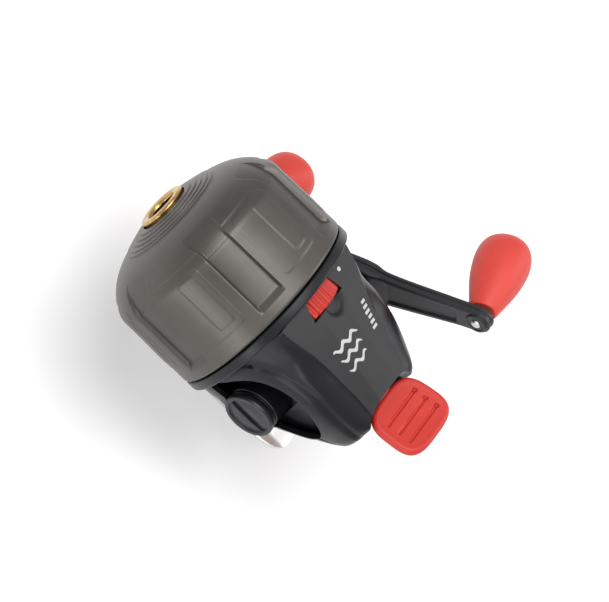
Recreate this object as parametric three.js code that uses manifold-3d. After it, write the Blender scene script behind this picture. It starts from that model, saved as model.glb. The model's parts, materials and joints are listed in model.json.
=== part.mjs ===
// Spincast fishing reel, closed nose, right-hand double crank.
// Millimetres. +X toward the nose (line out), +Y to the angler's left, +Z up,
// away from the rod. Origin: centre of the underside of the foot.
// Pieces are drawn about the spool axis unless their section says otherwise.

import * as THREE from 'three';
import { mergeVertices, toCreasedNormals } from 'three/addons/utils/BufferGeometryUtils.js';
import Module from 'manifold-3d';

const wasm = await Module();
wasm.setup();

// ---------------------------------------------------------------- dimensions
const DEG = Math.PI / 180;
const AXIS_H = 50;            // spool axis above the foot underside
const WALL = 1.8;             // walls of the frame and the rear cover
const FACET_SCALE = 0.58;     // facets round every turned surface
const CREASE = 0.6;           // radians, sharper edges are shaded hard

const COVER_R = 35;           // nose cover, over the raised panels
const COVER_IN_R = 32.4;
const COVER_BACK = 15;
const PANELS = 6;
const VALLEY_DEG = 18;        // width of the valleys between panels
const VALLEY_MID = 27.4;      // first valley, degrees from the top toward +Y
const VALLEY_DEEP = 1.7;
const RING_OD = 17.6;         // line guide ring
const RING_ID = 10.8;

const FLANGE_R = COVER_R;     // frame flange behind the cover
const FLANGE_BACK = 10.9;
const FLANGE_FRONT = 14.6;
const PLATE_R = 31.5;         // frame plate inside the flange
const PLATE_BACK = 12;
const PLATE_FRONT = 14.4;
const RIM_R = 30.6;           // bayonet rim
const LUGS = 3;
const LUG_DEG = 30;

const CRANK_X = -6.5;
const CRANK_Z = -11;          // below the spool axis
const CRANK_AXIS = [CRANK_X, 0, CRANK_Z];
const ARM_R = 46.5;           // crank axis to knob axis
const ARM_TILT = Math.atan2(0.671, -0.741); // from +X toward +Z: up and to the rear
const KNOB_LEN = 30.5;
const KNOB_W = 18.6;
const KNOB_ROOT_Y = -43;
const KNOB_BORE_R = 1.95;
const KNOB_LEAN = 12.5;       // degrees, knobs lean in toward the crank axis
const LEAN_Y = -40;           // level on the knob axis that the lean turns about

const PINION_TEETH = 8;
const PINION_ROOT_R = 2.75;
const PINION_TIP_R = 4.4;
const GEAR_TEETH = 28;
const GEAR_R = 18.3;
const MESH_X = 5.75;          // middle of the tooth contact
const MESH_HALF = 2;
const RATCHET_TEETH = 12;

const DIAL_R = 11.6;
const DIAL_BACK = 3.7;
const DIAL_FRONT = 10.9;
const DIAL_RIBS = 30;
const DIAL_RIB_DEEP = 0.7;
const DIAL_AXIS = [0, 0, 17.2];

const PAD_W = 25.6;
const PAD_L = 21.2;
const PAD_T = 3.4;
const PAD_X = -42.9;          // centre of the pad's top face
const PAD_Z = 14.2;
const PAD_TILT = 16;          // degrees, rising to the rear
const PAD_POWER = 3.3;        // how square the rounded outline is
const PAD_GAP = 1.1;          // pad to pocket wall
const POCKET_WALL = 1.7;

const FOOT_L = 64;
const FOOT_W = 15;
const FOOT_T = 2.4;
const SHAFT_R = 1.6;

// places of pins and screws
const BUTTON_PIN = [-26, 0, 9];
const BUTTON_HOLE_R = 1.6;
const PAWL_PIN = [4.8, 0, -12.6];
const PAWL_HOLE_R = 1.5;
const BELLY_SCREW = [-22, 3, 0];
const FOOT_SCREW_X = 7;       // in front of and behind the origin
const coverScrewAt = (side) => [0, side * 18.6, 18.8];

// ------------------------------------------------------------------- helpers
// manifold solid from a closed geometry, faces turned outward
function solid(geometry) {
  geometry.deleteAttribute('normal');
  geometry.deleteAttribute('uv');
  const merged = mergeVertices(geometry, 1e-4);
  const { position } = merged.attributes;
  const index = merged.index.array;
  const point = (i) => new THREE.Vector3().fromBufferAttribute(position, i);
  const corners = [];
  let volume = 0;
  for (let i = 0; i < index.length; i += 3) {
    const [first, second, third] = index.slice(i, i + 3);
    if (first === second || second === third || first === third) continue;
    corners.push(first, second, third);
    volume += point(first).dot(point(second).cross(point(third)));
  }
  if (volume < 0) {
    for (let i = 0; i < corners.length; i += 3) {
      [corners[i], corners[i + 1]] = [corners[i + 1], corners[i]];
    }
  }
  return new wasm.Manifold(new wasm.Mesh({
    numProp: 3,
    vertProperties: new Float32Array(position.array),
    triVerts: new Uint32Array(corners),
  }));
}

function toGeometry(body) {
  const mesh = body.getMesh();
  const geometry = new THREE.BufferGeometry();
  geometry.setAttribute('position', new THREE.BufferAttribute(mesh.vertProperties, 3));
  geometry.setIndex(Array.from(mesh.triVerts));
  return geometry;
}

// turned profile [[along, radius], ...] about the named axis; a profile that
// doesn't start and end on the axis is closed into a ring
function lathe(profile, count, axis = 'x') {
  const onAxis = profile[0][1] === 0 && profile.at(-1)[1] === 0;
  const points = onAxis ? profile : [...profile, profile[0]];
  const facets = Math.max(12, Math.round(count * FACET_SCALE / 2) * 2);
  const geometry = new THREE.LatheGeometry(
    points.map(([along, radius]) => new THREE.Vector2(radius, along)), facets);
  if (axis === 'x') geometry.rotateZ(-Math.PI / 2);
  if (axis === 'z') geometry.rotateX(Math.PI / 2);
  return solid(geometry);
}
function rod(axis, radius, start, end, count) {
  return lathe([[start, 0], [start, radius], [end, radius], [end, 0]], count, axis);
}
function tube(axis, outerR, innerR, start, end, count) {
  const profile = [[start, innerR], [start, outerR], [end, outerR], [end, innerR]];
  return lathe(profile, count, axis);
}
function block(x0, x1, y0, y1, z0, z1) {
  const geometry = new THREE.BoxGeometry(x1 - x0, y1 - y0, z1 - z0);
  geometry.translate((x0 + x1) / 2, (y0 + y1) / 2, (z0 + z1) / 2);
  return solid(geometry);
}

const shapeOf = (points) => new THREE.Shape(points.map(([u, v]) => new THREE.Vector2(u, v)));
const extruded = (points, depth) => new THREE.ExtrudeGeometry(
  shapeOf(points), { depth, bevelEnabled: false, steps: 1 });
// outline in the XZ plane, thickness from y0 to y1
function plateXZ(points, y0, y1) {
  const geometry = extruded(points, y1 - y0);
  geometry.rotateX(Math.PI / 2);
  geometry.translate(0, y1, 0);
  return solid(geometry);
}
// outline in the XY plane, height from z0 to z1
function plateXY(points, z0, z1) {
  const geometry = extruded(points, z1 - z0);
  geometry.translate(0, 0, z0);
  return solid(geometry);
}
// outline in the YZ plane, thickness from x0 to x1
function plateYZ(points, x0, x1) {
  const geometry = extruded(points, x1 - x0);
  geometry.applyMatrix4(new THREE.Matrix4().set(0, 0, 1, x0, 1, 0, 0, 0, 0, 1, 0, 0, 0, 0, 0, 1));
  return solid(geometry);
}
// ring sector in YZ, angle measured from +Z toward +Y
function sectorYZ(innerR, outerR, midDeg, widthDeg, x0, x1, steps) {
  const arc = (radius) => Array.from({ length: steps + 1 }, (_, i) => {
    const angle = (midDeg - widthDeg / 2 + widthDeg * i / steps) * DEG;
    return [radius * Math.sin(angle), radius * Math.cos(angle)];
  });
  return plateYZ([...arc(outerR), ...arc(innerR).reverse()], x0, x1);
}
// skin over rings of equal point count, flat fans at both ends
function skin(rings) {
  const count = rings[0].length;
  const positions = rings.flat(2);
  const index = [];
  for (let k = 0; k < rings.length - 1; k++) {
    for (let i = 0; i < count; i++) {
      const here = k * count + i;
      const next = k * count + (i + 1) % count;
      index.push(here, next, next + count, here, next + count, here + count);
    }
  }
  for (const k of [0, rings.length - 1]) {
    const middle = [0, 0, 0];
    for (const point of rings[k]) {
      for (let i = 0; i < 3; i++) middle[i] += point[i] / count;
    }
    const hub = positions.length / 3;
    positions.push(...middle);
    for (let i = 0; i < count; i++) {
      const here = k * count + i;
      const next = k * count + (i + 1) % count;
      if (k === 0) index.push(hub, next, here);
      else index.push(hub, here, next);
    }
  }
  const geometry = new THREE.BufferGeometry();
  geometry.setAttribute('position', new THREE.BufferAttribute(new Float32Array(positions), 3));
  geometry.setIndex(index);
  return solid(geometry);
}

const union = (...bodies) => bodies.reduce((sum, body) => sum.add(body));
const cut = (body, ...tools) => tools.reduce((rest, tool) => rest.subtract(tool), body);
// [y, z] half outline with y >= 0, completed on the other side
const mirrorY = (points) => [
  ...points,
  ...points.slice().reverse().filter(([y]) => y > 1e-6).map(([y, z]) => [-y, z]),
];
const ringAt = (x, half) => mirrorY(half).map(([y, z]) => [x, y, z]);
const polygon = (radius, count) => Array.from({ length: count }, (_, i) => {
  const angle = i / count * 2 * Math.PI;
  return [radius * Math.cos(angle), radius * Math.sin(angle)];
});
// rounded-square outline of the thumb pad
function padOutline(halfL, halfW, count) {
  const bulge = (value) => Math.sign(value) * Math.abs(value) ** (2 / PAD_POWER);
  return polygon(1, count).map(([x, y]) => [halfL * bulge(x), halfW * bulge(y)]);
}
// bayonet lugs, the first at the top
function addLugs(body, innerR, outerR, back, front) {
  const lugs = Array.from({ length: LUGS }, (_, i) => (
    sectorYZ(innerR, outerR, i * 360 / LUGS, LUG_DEG, back, front, 5)));
  return union(body, ...lugs);
}

// ------------------------------------------------------ groups and materials
function addGroup(name, position, parent) {
  const child = new THREE.Group();
  child.name = name;
  child.position.set(...position);
  parent?.add(child);
  return child;
}
const group = addGroup('spincast_reel', [0, 0, 0]);
const axisGroup = addGroup('reel_axis', [0, 0, AXIS_H], group);
const crankGroup = addGroup('crank_axis', CRANK_AXIS, axisGroup);
const armGroup = addGroup('arm_axis', [0, 0, 0], crankGroup);
armGroup.rotation.y = -ARM_TILT;   // its +X runs along the arm to knob a

const MATERIALS = {
  gunmetal: { color: 0x7d7871, roughness: 0.38, metalness: 0.85 },
  black_plastic: { color: 0x1d1e21, roughness: 0.5, metalness: 0.05 },
  red_soft: { color: 0xd9372a, roughness: 0.62, metalness: 0 },
  red_plastic: { color: 0xd6362a, roughness: 0.42, metalness: 0 },
  brass: { color: 0xb98a3a, roughness: 0.28, metalness: 1 },
  steel: { color: 0xa7a9ab, roughness: 0.3, metalness: 1 },
  dark_steel: { color: 0x2b2c30, roughness: 0.4, metalness: 0.7 },
  alloy: { color: 0x9a9c9e, roughness: 0.4, metalness: 0.9 },
  rubber: { color: 0x141414, roughness: 0.85, metalness: 0 },
  felt: { color: 0x8d8574, roughness: 0.95, metalness: 0 },
  line: { color: 0xcfe0d8, roughness: 0.25, metalness: 0 },
};

function put(name, body, material, parent = axisGroup) {
  const mesh = new THREE.Mesh(
    toCreasedNormals(toGeometry(body), CREASE),
    new THREE.MeshStandardMaterial({ ...MATERIALS[material], name: material }));
  mesh.name = name;
  parent.add(mesh);
}

// --------------------------------------------------------------- nose cover
function frontCover() {
  // [x, radius], outside from back to nose, then inside from nose to back
  const outer = [[COVER_BACK, 34.4], [15.8, COVER_R], [43, COVER_R], [45.9, 34.0], [48.5, 32.4],
    [51, 30.0], [53.3, 27.0], [55.2, 23.2], [56.6, 19.2], [57.8, 15.2], [59.4, 9.3]];
  const inner = [[57.2, 9.3], [54.4, 17], [51.4, 24.8], [48.4, 29.2], [45, 31.7],
    [41.5, COVER_IN_R], [COVER_BACK, COVER_IN_R]];
  let cover = lathe([...outer, ...inner], 72);
  for (let i = 0; i < PANELS; i++) {
    const middle = VALLEY_MID + i * 360 / PANELS;
    const floorR = COVER_R - VALLEY_DEEP;
    cover = cut(cover, sectorYZ(floorR, COVER_R + 4, middle, VALLEY_DEG, 20, 48, 4));
  }
  return addLugs(cover, 30.95, COVER_IN_R + 0.4, 16.1, 18.1);
}
put('front_cover', frontCover(), 'gunmetal');
put('line_guide_ring', lathe([[55.4, RING_ID / 2 + 0.7], [60.2, RING_ID / 2],
  [61, RING_ID / 2 + 1.4], [60.7, RING_OD / 2 - 0.2], [59.7, RING_OD / 2],
  [55.4, RING_OD / 2]], 40), 'brass');
put('guide_retainer', lathe([[53.2, 9.35], [53.2, 11.4], [54.9, 11.1], [54.9, 9.35]], 36), 'steel');

// --------------------------------------------------------------------- frame
// side walls narrow toward the rear: plan outline, moved in by inset
function wallPlan(back, front, inset) {
  const halfWidth = (x) => 13.2 + (x + 33) * (17.9 - 13.2) / 45 - inset;
  return [[front, -halfWidth(front)], [front, halfWidth(front)],
    [back, halfWidth(back)], [back, -halfWidth(back)]];
}
// [x, z] side outlines of the gear case, of the room in it and of the stem
const CASE_SIDE = [[12.6, 14], [1, 14], [-16, 12], [-30.6, 11],
  [-30.6, -4], [-24, -9.5], [-16, -17.5], [-6, -22.5], [4, -24.5], [12.6, -25]];
const ROOM_SIDE = [[12, 40], [-40, 40], [-40, -2.2],
  [-30.6, -2.2], [-24, -7.7], [-16, -15.7], [-6, -20.6], [4, -22.6], [12, -23.1]];
const STEM_SIDE = [[12, -23.5], [-12, -20.6], [-15, -24], [-14, -33], [-11.2, -40],
  [-11.2, -47.4], [11.2, -47.4], [11.2, -41], [12, -36]];

function gearCase() {
  const outside = plateXZ(CASE_SIDE, -19, 19).intersect(plateXY(wallPlan(-32, 12.6, 0), -30, 30));
  const room = plateXZ(ROOM_SIDE, -19, 19).intersect(plateXY(wallPlan(-33, 13.5, WALL), -30, 30));
  return cut(outside, room);
}
function bodyFrame() {
  let frame = lathe([[PLATE_BACK, 0], [PLATE_BACK, PLATE_R], [FLANGE_BACK, PLATE_R],
    [FLANGE_BACK, FLANGE_R - 0.8], [FLANGE_BACK + 0.8, FLANGE_R], [FLANGE_FRONT, FLANGE_R],
    [FLANGE_FRONT, 31.2], [15.8, 31.2], [15.8, RIM_R], [20.6, RIM_R], [20.6, 29],
    [PLATE_FRONT, 29], [PLATE_FRONT, 0]], 72);
  frame = addLugs(frame, 29.8, 32.05, 18.5, 20.6);
  frame = union(frame, gearCase(),
    plateXZ(STEM_SIDE, -4.6, 4.6),
    rod('z', 2.6, -20.2, -9.4, 20).translate(BELLY_SCREW),
    rod('x', 6.2, 11.2, 37, 36));                                  // spool hub
  frame = cut(frame,
    rod('x', 4.6, 10, 38, 32),                                     // hub bore
    rod('x', 2.6, 11, 16, 20).translate(DIAL_AXIS),
    rod('y', 6.5, -25, 25, 32).translate(CRANK_AXIS),
    rod('y', 19, -8.4, -2.6, 56).translate(CRANK_AXIS),            // drive gear room
    rod('y', BUTTON_HOLE_R, -15, 15, 16).translate(BUTTON_PIN),
    rod('y', PAWL_HOLE_R, 9, 20, 16).translate(PAWL_PIN));
  for (const side of [-1, 1]) {
    frame = cut(frame, rod('x', 1.3, 8, 16, 16).translate(coverScrewAt(side)));
  }
  frame = cut(frame, rod('z', 1, -21, -12.5, 16).translate(BELLY_SCREW));
  for (const x of [-FOOT_SCREW_X, FOOT_SCREW_X]) {
    frame = cut(frame, rod('z', 1.1, -48, -39, 16).translate([x, 0, 0]));
  }
  return frame;
}
put('body_frame', bodyFrame(), 'black_plastic');

// ------------------------------------- foot, drawn about the reel's own origin
// distance from the middle, half width, thickness: from either end inward
const FOOT_STATIONS = [
  [FOOT_L / 2, 2.6, 1.3],
  [FOOT_L / 2 - 1.6, 5.2, 1.45],
  [FOOT_L / 2 - 4.5, 6.8, 1.6],
  [22, FOOT_W / 2, 1.8],
  [14, FOOT_W / 2, FOOT_T],
];
function reelFoot() {
  // flat land under the middle, edges turned down, thinned ends
  const section = (x, half, thick) => ringAt(x, [[0, thick], [half * 0.6, thick - 0.15],
    [half, thick - 0.95], [half, -0.7], [half * 0.5, 0], [0, 0]]);
  let plate = skin([
    ...FOOT_STATIONS.map(([x, half, thick]) => section(-x, half, thick)),
    ...FOOT_STATIONS.slice().reverse().map((station) => section(...station)),
  ]);
  const countersink = [[-0.5, 0], [-0.5, 3.1], [0.3, 3.1], [1.5, 1.5], [1.5, 0]];
  for (const x of [-FOOT_SCREW_X, FOOT_SCREW_X]) {
    plate = cut(plate, rod('z', 1.5, -2, 4, 20).translate([x, 0, 0]),
      lathe(countersink, 20, 'z').translate([x, 0, 0]));
  }
  return plate;
}
put('reel_foot', reelFoot(), 'steel', group);
for (const [place, x] of [['rear', -FOOT_SCREW_X], ['front', FOOT_SCREW_X]]) {
  const screw = lathe([[0.15, 0], [0.15, 2.6], [0.3, 2.6], [1.7, 0.85], [10.5, 0.85],
    [10.5, 0]], 20, 'z');
  put(`foot_screw_${place}`, screw.translate([x, 0, 0]), 'steel', group);
}

// ---------------------------------------------------------------- rear cover
// cross-sections from front to rear: x, then the left half outline as [y, z]
// from the top centre down to the bottom centre
const SECTIONS = [
  [10.6, [[0, 28.1], [20.2, 27.8], [22.6, 24.6], [24.0, 17], [24.9, 8], [26, 1],
    [26.6, -8], [25.8, -17], [22.6, -26], [12, -32.2], [0, -33.8]]],
  [5, [[0, 26.6], [19, 26.4], [21.6, 23.4], [22.9, 18], [23.4, 13], [25.4, 4.5],
    [26, -6], [25.2, -16], [22.3, -25.6], [12, -32.2], [0, -34]]],
  [-3, [[0, 24.1], [16, 23.9], [19.2, 22], [21, 20.2], [22.1, 18.1], [24.6, 10.5],
    [25.3, -4], [24.4, -15], [21.4, -24.6], [11.8, -32], [0, -34]]],
  [-8, [[0, 22.4], [14.6, 22.2], [18.4, 21], [20.3, 20], [21.5, 18.8], [24.1, 11.8],
    [24.8, -3], [23.8, -14], [20.6, -23.2], [11.4, -31.6], [0, -33.8]]],
  [-13.5, [[0, 20.6], [13.5, 20.4], [17.3, 19.8], [19.3, 19.2], [20.7, 18.4], [23.4, 12],
    [24.1, -2], [22.9, -11], [19.5, -20.8], [11, -30.4], [0, -33]]],
  [-18, [[0, 19.1], [12.7, 18.9], [16.3, 18.3], [18.3, 17.7], [20.1, 16.8], [22.7, 11.6],
    [23.3, -1], [22, -9], [18.4, -18.2], [10.4, -28.8], [0, -31.4]]],
  [-24.8, [[0, 16.9], [11.5, 16.7], [15.2, 16.1], [17.2, 15.5], [19, 14.4], [21.2, 9.6],
    [21.7, 0], [20.4, -6.5], [16.9, -13.2], [9.6, -21.6], [0, -24.4]]],
  [-30, [[0, 15.1], [10.8, 14.9], [14.3, 14.3], [16.3, 13.6], [17.8, 12.4], [19.4, 8],
    [19.8, 1.4], [18.6, -3.5], [15.6, -8.4], [8.9, -14.6], [0, -16.8]]],
  [-34, [[0, 13.8], [10.3, 13.6], [13.6, 13], [15.3, 12.2], [16.4, 10.8], [17.8, 7],
    [18.1, 2.4], [17, -1], [14.2, -4.4], [8.4, -8.6], [0, -10]]],
  [-36, [[0, 12.6], [9.4, 12.3], [12, 11.6], [13.3, 10.9], [14.3, 9.7], [15.2, 6.4],
    [15.4, 3], [14.5, 0.4], [12.2, -1.8], [7.6, -4.2], [0, -5]]],
];
// [x, z] outline of the side windows over the crank bosses
const WINDOW = [[9, -14.5], [7.4, -7], [5.6, -1], [2.5, 4.8], [-1.5, 8.7], [-6.5, 10.9],
  [-12, 11.1], [-17, 9.7], [-21.4, 7.3], [-24.8, 4.4], [-26.4, 1.9], [-26.8, -0.6],
  [-25.9, -3.9], [-22.8, -7.3], [-17.5, -10.9], [-16.4, -14.5], [-13.5, -18.6], [-9, -20.9],
  [-4, -20.9], [0.5, -18.6], [3, -15.8], [6, -15.3]];

// half outline moved inward; its ends move straight along z
function insetHalf(points, depth) {
  const last = points.length - 1;
  return points.map(([y, z], i) => {
    if (i === 0) return [y, z - depth];
    if (i === last) return [y, z + depth];
    const alongY = points[i + 1][0] - points[i - 1][0];
    const alongZ = points[i + 1][1] - points[i - 1][1];
    const length = Math.hypot(alongY, alongZ);
    return [Math.max(0, y + depth * alongZ / length), z - depth * alongY / length];
  });
}
// pocket in the deck that the thumb pad moves in
function padPocket(grow) {
  const halfL = PAD_L / 2 * Math.cos(PAD_TILT * DEG) + PAD_GAP + grow;
  const outline = padOutline(halfL, PAD_W / 2 + PAD_GAP + grow, 40);
  return plateXY(outline.map(([x, y]) => [x + PAD_X, y]), 4.6 - grow, 40);
}
function rearCover() {
  const outer = skin(SECTIONS.map(([x, half]) => ringAt(x, half)));
  // the inside starts ahead of the front edge and stops short of the rear wall
  const inner = skin(SECTIONS.slice(0, -1).map(([x, half], i) => (
    ringAt(i === 0 ? 11.5 : x, insetHalf(half, WALL)))));
  let cover = cut(cut(outer, padPocket(0)), cut(inner, padPocket(POCKET_WALL)));
  for (const side of [-1, 1]) {
    const post = cut(rod('x', 2.5, 3.4, 10.6, 20), rod('x', 0.95, 3, 11, 14));
    cover = union(cover, post.translate(coverScrewAt(side)));
    cover = cut(cover, rod('x', 0.95, 4.4, 11, 14).translate(coverScrewAt(side)));
  }
  cover = cut(cover,
    plateXZ(WINDOW, 16, 30),
    plateXZ(WINDOW, -30, -16),
    block(3, 12, -9.6, 9.6, 19, 32),               // dial slot
    block(-38, -28.4, -5.2, 5.2, -1, 12.4),        // button opening
    block(-16.2, 12, -5.2, 5.2, -36, -20));        // stem slot
  cover = union(cover, rod('z', 3.6, -25.4, -20.6, 20).translate(BELLY_SCREW));
  return cut(cover,
    rod('z', 1, -36, -18, 16).translate(BELLY_SCREW),
    rod('z', 2.65, -36, -25.2, 20).translate(BELLY_SCREW));
}
put('rear_cover', rearCover(), 'black_plastic');

// ----------------------------------------------------- bushings and fasteners
put('main_bushing', lathe([[10.2, 3.6], [10.2, 5.2], [10.9, 5.2], [10.9, 4.3], [20, 4.3],
  [20, 3.6]], 32), 'brass');
put('front_bushing', tube('x', 4.3, 1.95, 29, 36.8, 28), 'brass');
for (const [place, side] of [['left', 1], ['right', -1]]) {
  // [distance from the middle plane, radius]
  const profile = [[14.2, 4.5], [14.2, 6.2], [18.2, 6.2], [18.2, 8.5], [24.6, 8.5],
    [25.3, 7.9], [25.3, 4.5]];
  const bushing = lathe(profile.map(([y, radius]) => [side * y, radius]), 36, 'y');
  put(`crank_bushing_${place}`, bushing.translate(CRANK_AXIS), 'black_plastic');
}

function shaftBracket() {
  const upright = plateYZ([[-2.7, -2.2], [-2.7, 2.2], [-1.4, 3.8], [13.8, 3.8],
    [13.8, -3.8], [-1.4, -3.8]], 0.8, 2.5);
  return cut(union(upright, block(-5, 2.5, 12.6, 13.8, -3.8, 3.8)), rod('x', 1.95, 0, 3, 20));
}
put('shaft_bracket', shaftBracket(), 'steel');
put('cover_seal', tube('x', 32.1, 31.5, 14.9, 15.7, 60), 'rubber');

// the cover screws have slotted heads
for (const [place, side] of [['left', 1], ['right', -1]]) {
  const screw = lathe([[4.8, 0], [4.8, 0.65], [14.7, 0.65], [14.7, 2.2], [15.8, 2.0],
    [16.2, 1.4], [16.2, 0]], 18);
  const slot = block(15.6, 17, -1.4, 1.4, -0.3, 0.3);
  put(`cover_screw_${place}`, cut(screw, slot).translate(coverScrewAt(side)), 'steel');
}
function bellyScrew() {
  const screw = lathe([[-27.2, 0], [-27.2, 1.8], [-26.8, 2.2], [-25.6, 2.2], [-25.6, 0.7],
    [-14.0, 0.7], [-14.0, 0]], 18, 'z');
  return cut(screw, block(-1.5, 1.5, -0.3, 0.3, -28, -26.7)).translate(BELLY_SCREW);
}
put('cover_screw_bottom', bellyScrew(), 'steel');
put('button_pivot_pin', rod('y', 1.3, -13.7, 13.7, 16).translate(BUTTON_PIN), 'steel');
put('pawl_pivot_pin', rod('y', 1.2, 3.2, 17, 16).translate(PAWL_PIN), 'steel');
// split ring, open on the right
put('spool_retainer', cut(tube('x', 8.6, 6.5, 35.9, 36.6, 32),
  block(35, 38, -12, -3, -1.6, 1.6)), 'steel');

// --------------------------------------------------------------------- spool
put('spool', lathe([[18.2, 6.55], [18.2, 22.4], [18.8, 23], [19.7, 22.6], [19.9, 14],
  [34.1, 14], [34.3, 22.6], [35.0, 23], [35.6, 22.4], [35.6, 13], [33, 12.2], [22, 12.2],
  [21.4, 9.4], [35.3, 8.6], [35.3, 6.55]], 48), 'alloy');
put('line_pack', lathe([[20.3, 14.35], [20.3, 20.6], [21.2, 21], [32.8, 21], [33.7, 20.6],
  [33.7, 14.35]], 48), 'line');

// ---------------------------------------------------------------------- drag
function dragDial() {
  // four points to a rib: two on its crest, two in the groove after it
  const ribbed = [];
  const count = DIAL_RIBS * 4;
  for (let i = 0; i < count; i++) {
    const angle = i / count * 2 * Math.PI;
    const radius = i % 4 < 2 ? DIAL_R : DIAL_R - DIAL_RIB_DEEP;
    ribbed.push([radius * Math.sin(angle), radius * Math.cos(angle)]);
  }
  const rounded = lathe([[DIAL_BACK, 0], [DIAL_BACK, DIAL_R - 1.1],
    [DIAL_BACK + 0.9, DIAL_R + 0.1], [DIAL_FRONT - 0.9, DIAL_R + 0.1],
    [DIAL_FRONT, DIAL_R - 1.1], [DIAL_FRONT, 0]], 40);
  const recess = tube('x', 9.2, 5.6, DIAL_BACK - 1, DIAL_BACK + 4.4, 32);
  const dial = plateYZ(ribbed, DIAL_BACK, DIAL_FRONT).intersect(rounded);
  return cut(dial, recess, rod('x', 3.5, 0, 15, 24)).translate(DIAL_AXIS);
}
put('drag_dial', dragDial(), 'red_plastic');
put('dial_axle', tube('x', 3.2, 2.3, 1.9, 11.7, 24).translate(DIAL_AXIS), 'steel');
put('dial_clip', cut(tube('x', 5, 3.45, 2.5, 3.2, 24), block(2, 4, -1.6, 1.6, 0, 8))
  .translate(DIAL_AXIS), 'steel');
put('drag_pusher', rod('x', 2, 2.6, 15.4, 20).translate(DIAL_AXIS), 'brass');
put('drag_plate', tube('x', 21.8, 11.2, 15.8, 16.5, 48), 'steel');
put('drag_felt', tube('x', 21.6, 11.4, 16.8, 17.9, 48), 'felt');
// upright strip to the right of the dial, its top edge bent toward the dial
put('click_spring', union(block(4.4, 10.2, -14.8, -14.2, 8.2, 18.5),
  block(4.4, 10.2, -14.4, -12.4, 17.7, 18.5)), 'steel');

// ------------------------------------ gear train, pinion about the spool axis
function pinionGear() {
  // one tooth: [radius, offset from the tooth's middle line]
  const tooth = [[PINION_ROOT_R, -0.6], [PINION_TIP_R, -0.38], [PINION_TIP_R, 0.38],
    [PINION_ROOT_R, 0.6]];
  const outline = [];
  for (let i = 0; i < PINION_TEETH; i++) {
    const middle = (i + 0.5) / PINION_TEETH * 2 * Math.PI;
    for (const [radius, offset] of tooth) {
      const angle = middle + Math.atan2(offset, radius);
      const reach = Math.hypot(radius, offset);
      outline.push([-reach * Math.cos(angle), reach * Math.sin(angle)]);
    }
  }
  const gear = union(plateYZ(outline, 3, 8.3), rod('x', PINION_ROOT_R, 8, 10, 24),
    rod('x', 3.3, 9.6, 19, 24));
  return cut(gear, rod('x', 1.95, 2, 20, 20));
}
put('pinion_gear', pinionGear(), 'brass');

// pieces from here to the pawl are drawn about the crank axis
function driveGear() {
  const pinionZ = -CRANK_Z;
  const meshX = MESH_X - CRANK_X;
  const tipY = -3.1;
  const baseY = -4.75;
  const rootY = baseY - 0.4;
  let gear = lathe([[-7.4, 4.5], [-7.4, GEAR_R], [baseY, GEAR_R], [baseY, 14.4], [-5.6, 14.0],
    [-5.6, 7.4], [baseY, 7.0], [-3.4, 6.8], [-3.4, 4.5]], 56, 'y');
  // tooth section: [offset along z, y]
  const tooth = [[-0.54, rootY], [-0.5, baseY], [-0.28, tipY], [0.28, tipY], [0.5, baseY],
    [0.54, rootY]];
  const toothRing = (x) => tooth.map(([offset, y]) => [x, y, pinionZ + offset]);
  const bar = skin([toothRing(meshX - MESH_HALF), toothRing(meshX + MESH_HALF)]);
  for (let i = 0; i < GEAR_TEETH; i++) {
    gear = gear.add(bar.rotate([0, i * 360 / GEAR_TEETH, 0]));
  }
  gear = gear.intersect(rod('y', GEAR_R, -8, 0, 56));
  for (const [x, z] of polygon(10.7, 6)) {
    gear = cut(gear, rod('y', 2.3, -8, 0, 16).translate([x, 0, z]));
  }
  return gear;
}
put('drive_gear', driveGear(), 'brass', crankGroup);
put('crank_sleeve', tube('y', 4.2, 2.95, -25.6, 25.4, 28), 'steel', crankGroup);
put('gear_clip', cut(tube('y', 6.2, 4.45, -8.4, -7.7, 24), block(-1.6, 1.6, -9, -7, 0, 8)),
  'steel', crankGroup);

const PAWL_CONTACT = -60 * DEG;    // where the pawl tip meets the ratchet
function ratchetWheel() {
  const step = 2 * Math.PI / RATCHET_TEETH;
  const outline = [];
  for (let i = 0; i < RATCHET_TEETH; i++) {
    const start = PAWL_CONTACT + i * step;
    const end = start + step * 0.96;
    outline.push([6.5 * Math.cos(start), 6.5 * Math.sin(start)]);
    outline.push([7.9 * Math.cos(end), 7.9 * Math.sin(end)]);
  }
  return cut(plateXZ(outline, 4, 6), rod('y', 4.5, 3, 7, 28));
}
put('ratchet_wheel', ratchetWheel(), 'steel', crankGroup);

// drawn engaged with the ratchet, then swung clear about its pin
function pawl() {
  const pivotX = PAWL_PIN[0] - CRANK_X;
  const pivotZ = PAWL_PIN[2] - CRANK_Z;
  const tipX = 6.95 * Math.cos(PAWL_CONTACT + 0.05);
  const tipZ = 6.95 * Math.sin(PAWL_CONTACT + 0.05);
  const length = Math.hypot(pivotX - tipX, pivotZ - tipZ);
  const dirX = (pivotX - tipX) / length;
  const dirZ = (pivotZ - tipZ) / length;
  // [distance from the tip toward the pivot, distance away from the wheel]
  const outline = [[0, 0], [0.9, 0.05], [3.5, 1.2], [length, 1.2], [length + 1, 2.6],
    [length, 4], [3.2, 3.2], [0.1, 1.3]]
    .map(([along, away]) => [
      tipX + dirX * along + dirZ * away,
      tipZ + dirZ * along - dirX * away,
    ]);
  const pivot = [pivotX, 0, pivotZ];
  const bar = union(plateXZ(outline, 4.1, 5.9), rod('y', 2.6, 4.1, 5.9, 24).translate(pivot));
  return cut(bar, rod('y', PAWL_HOLE_R, 3, 7, 20).translate(pivot))
    .translate([-pivotX, 0, -pivotZ])
    .rotate([0, -12, 0])
    .translate(pivot);
}
put('pawl', pawl(), 'steel', crankGroup);

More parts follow.
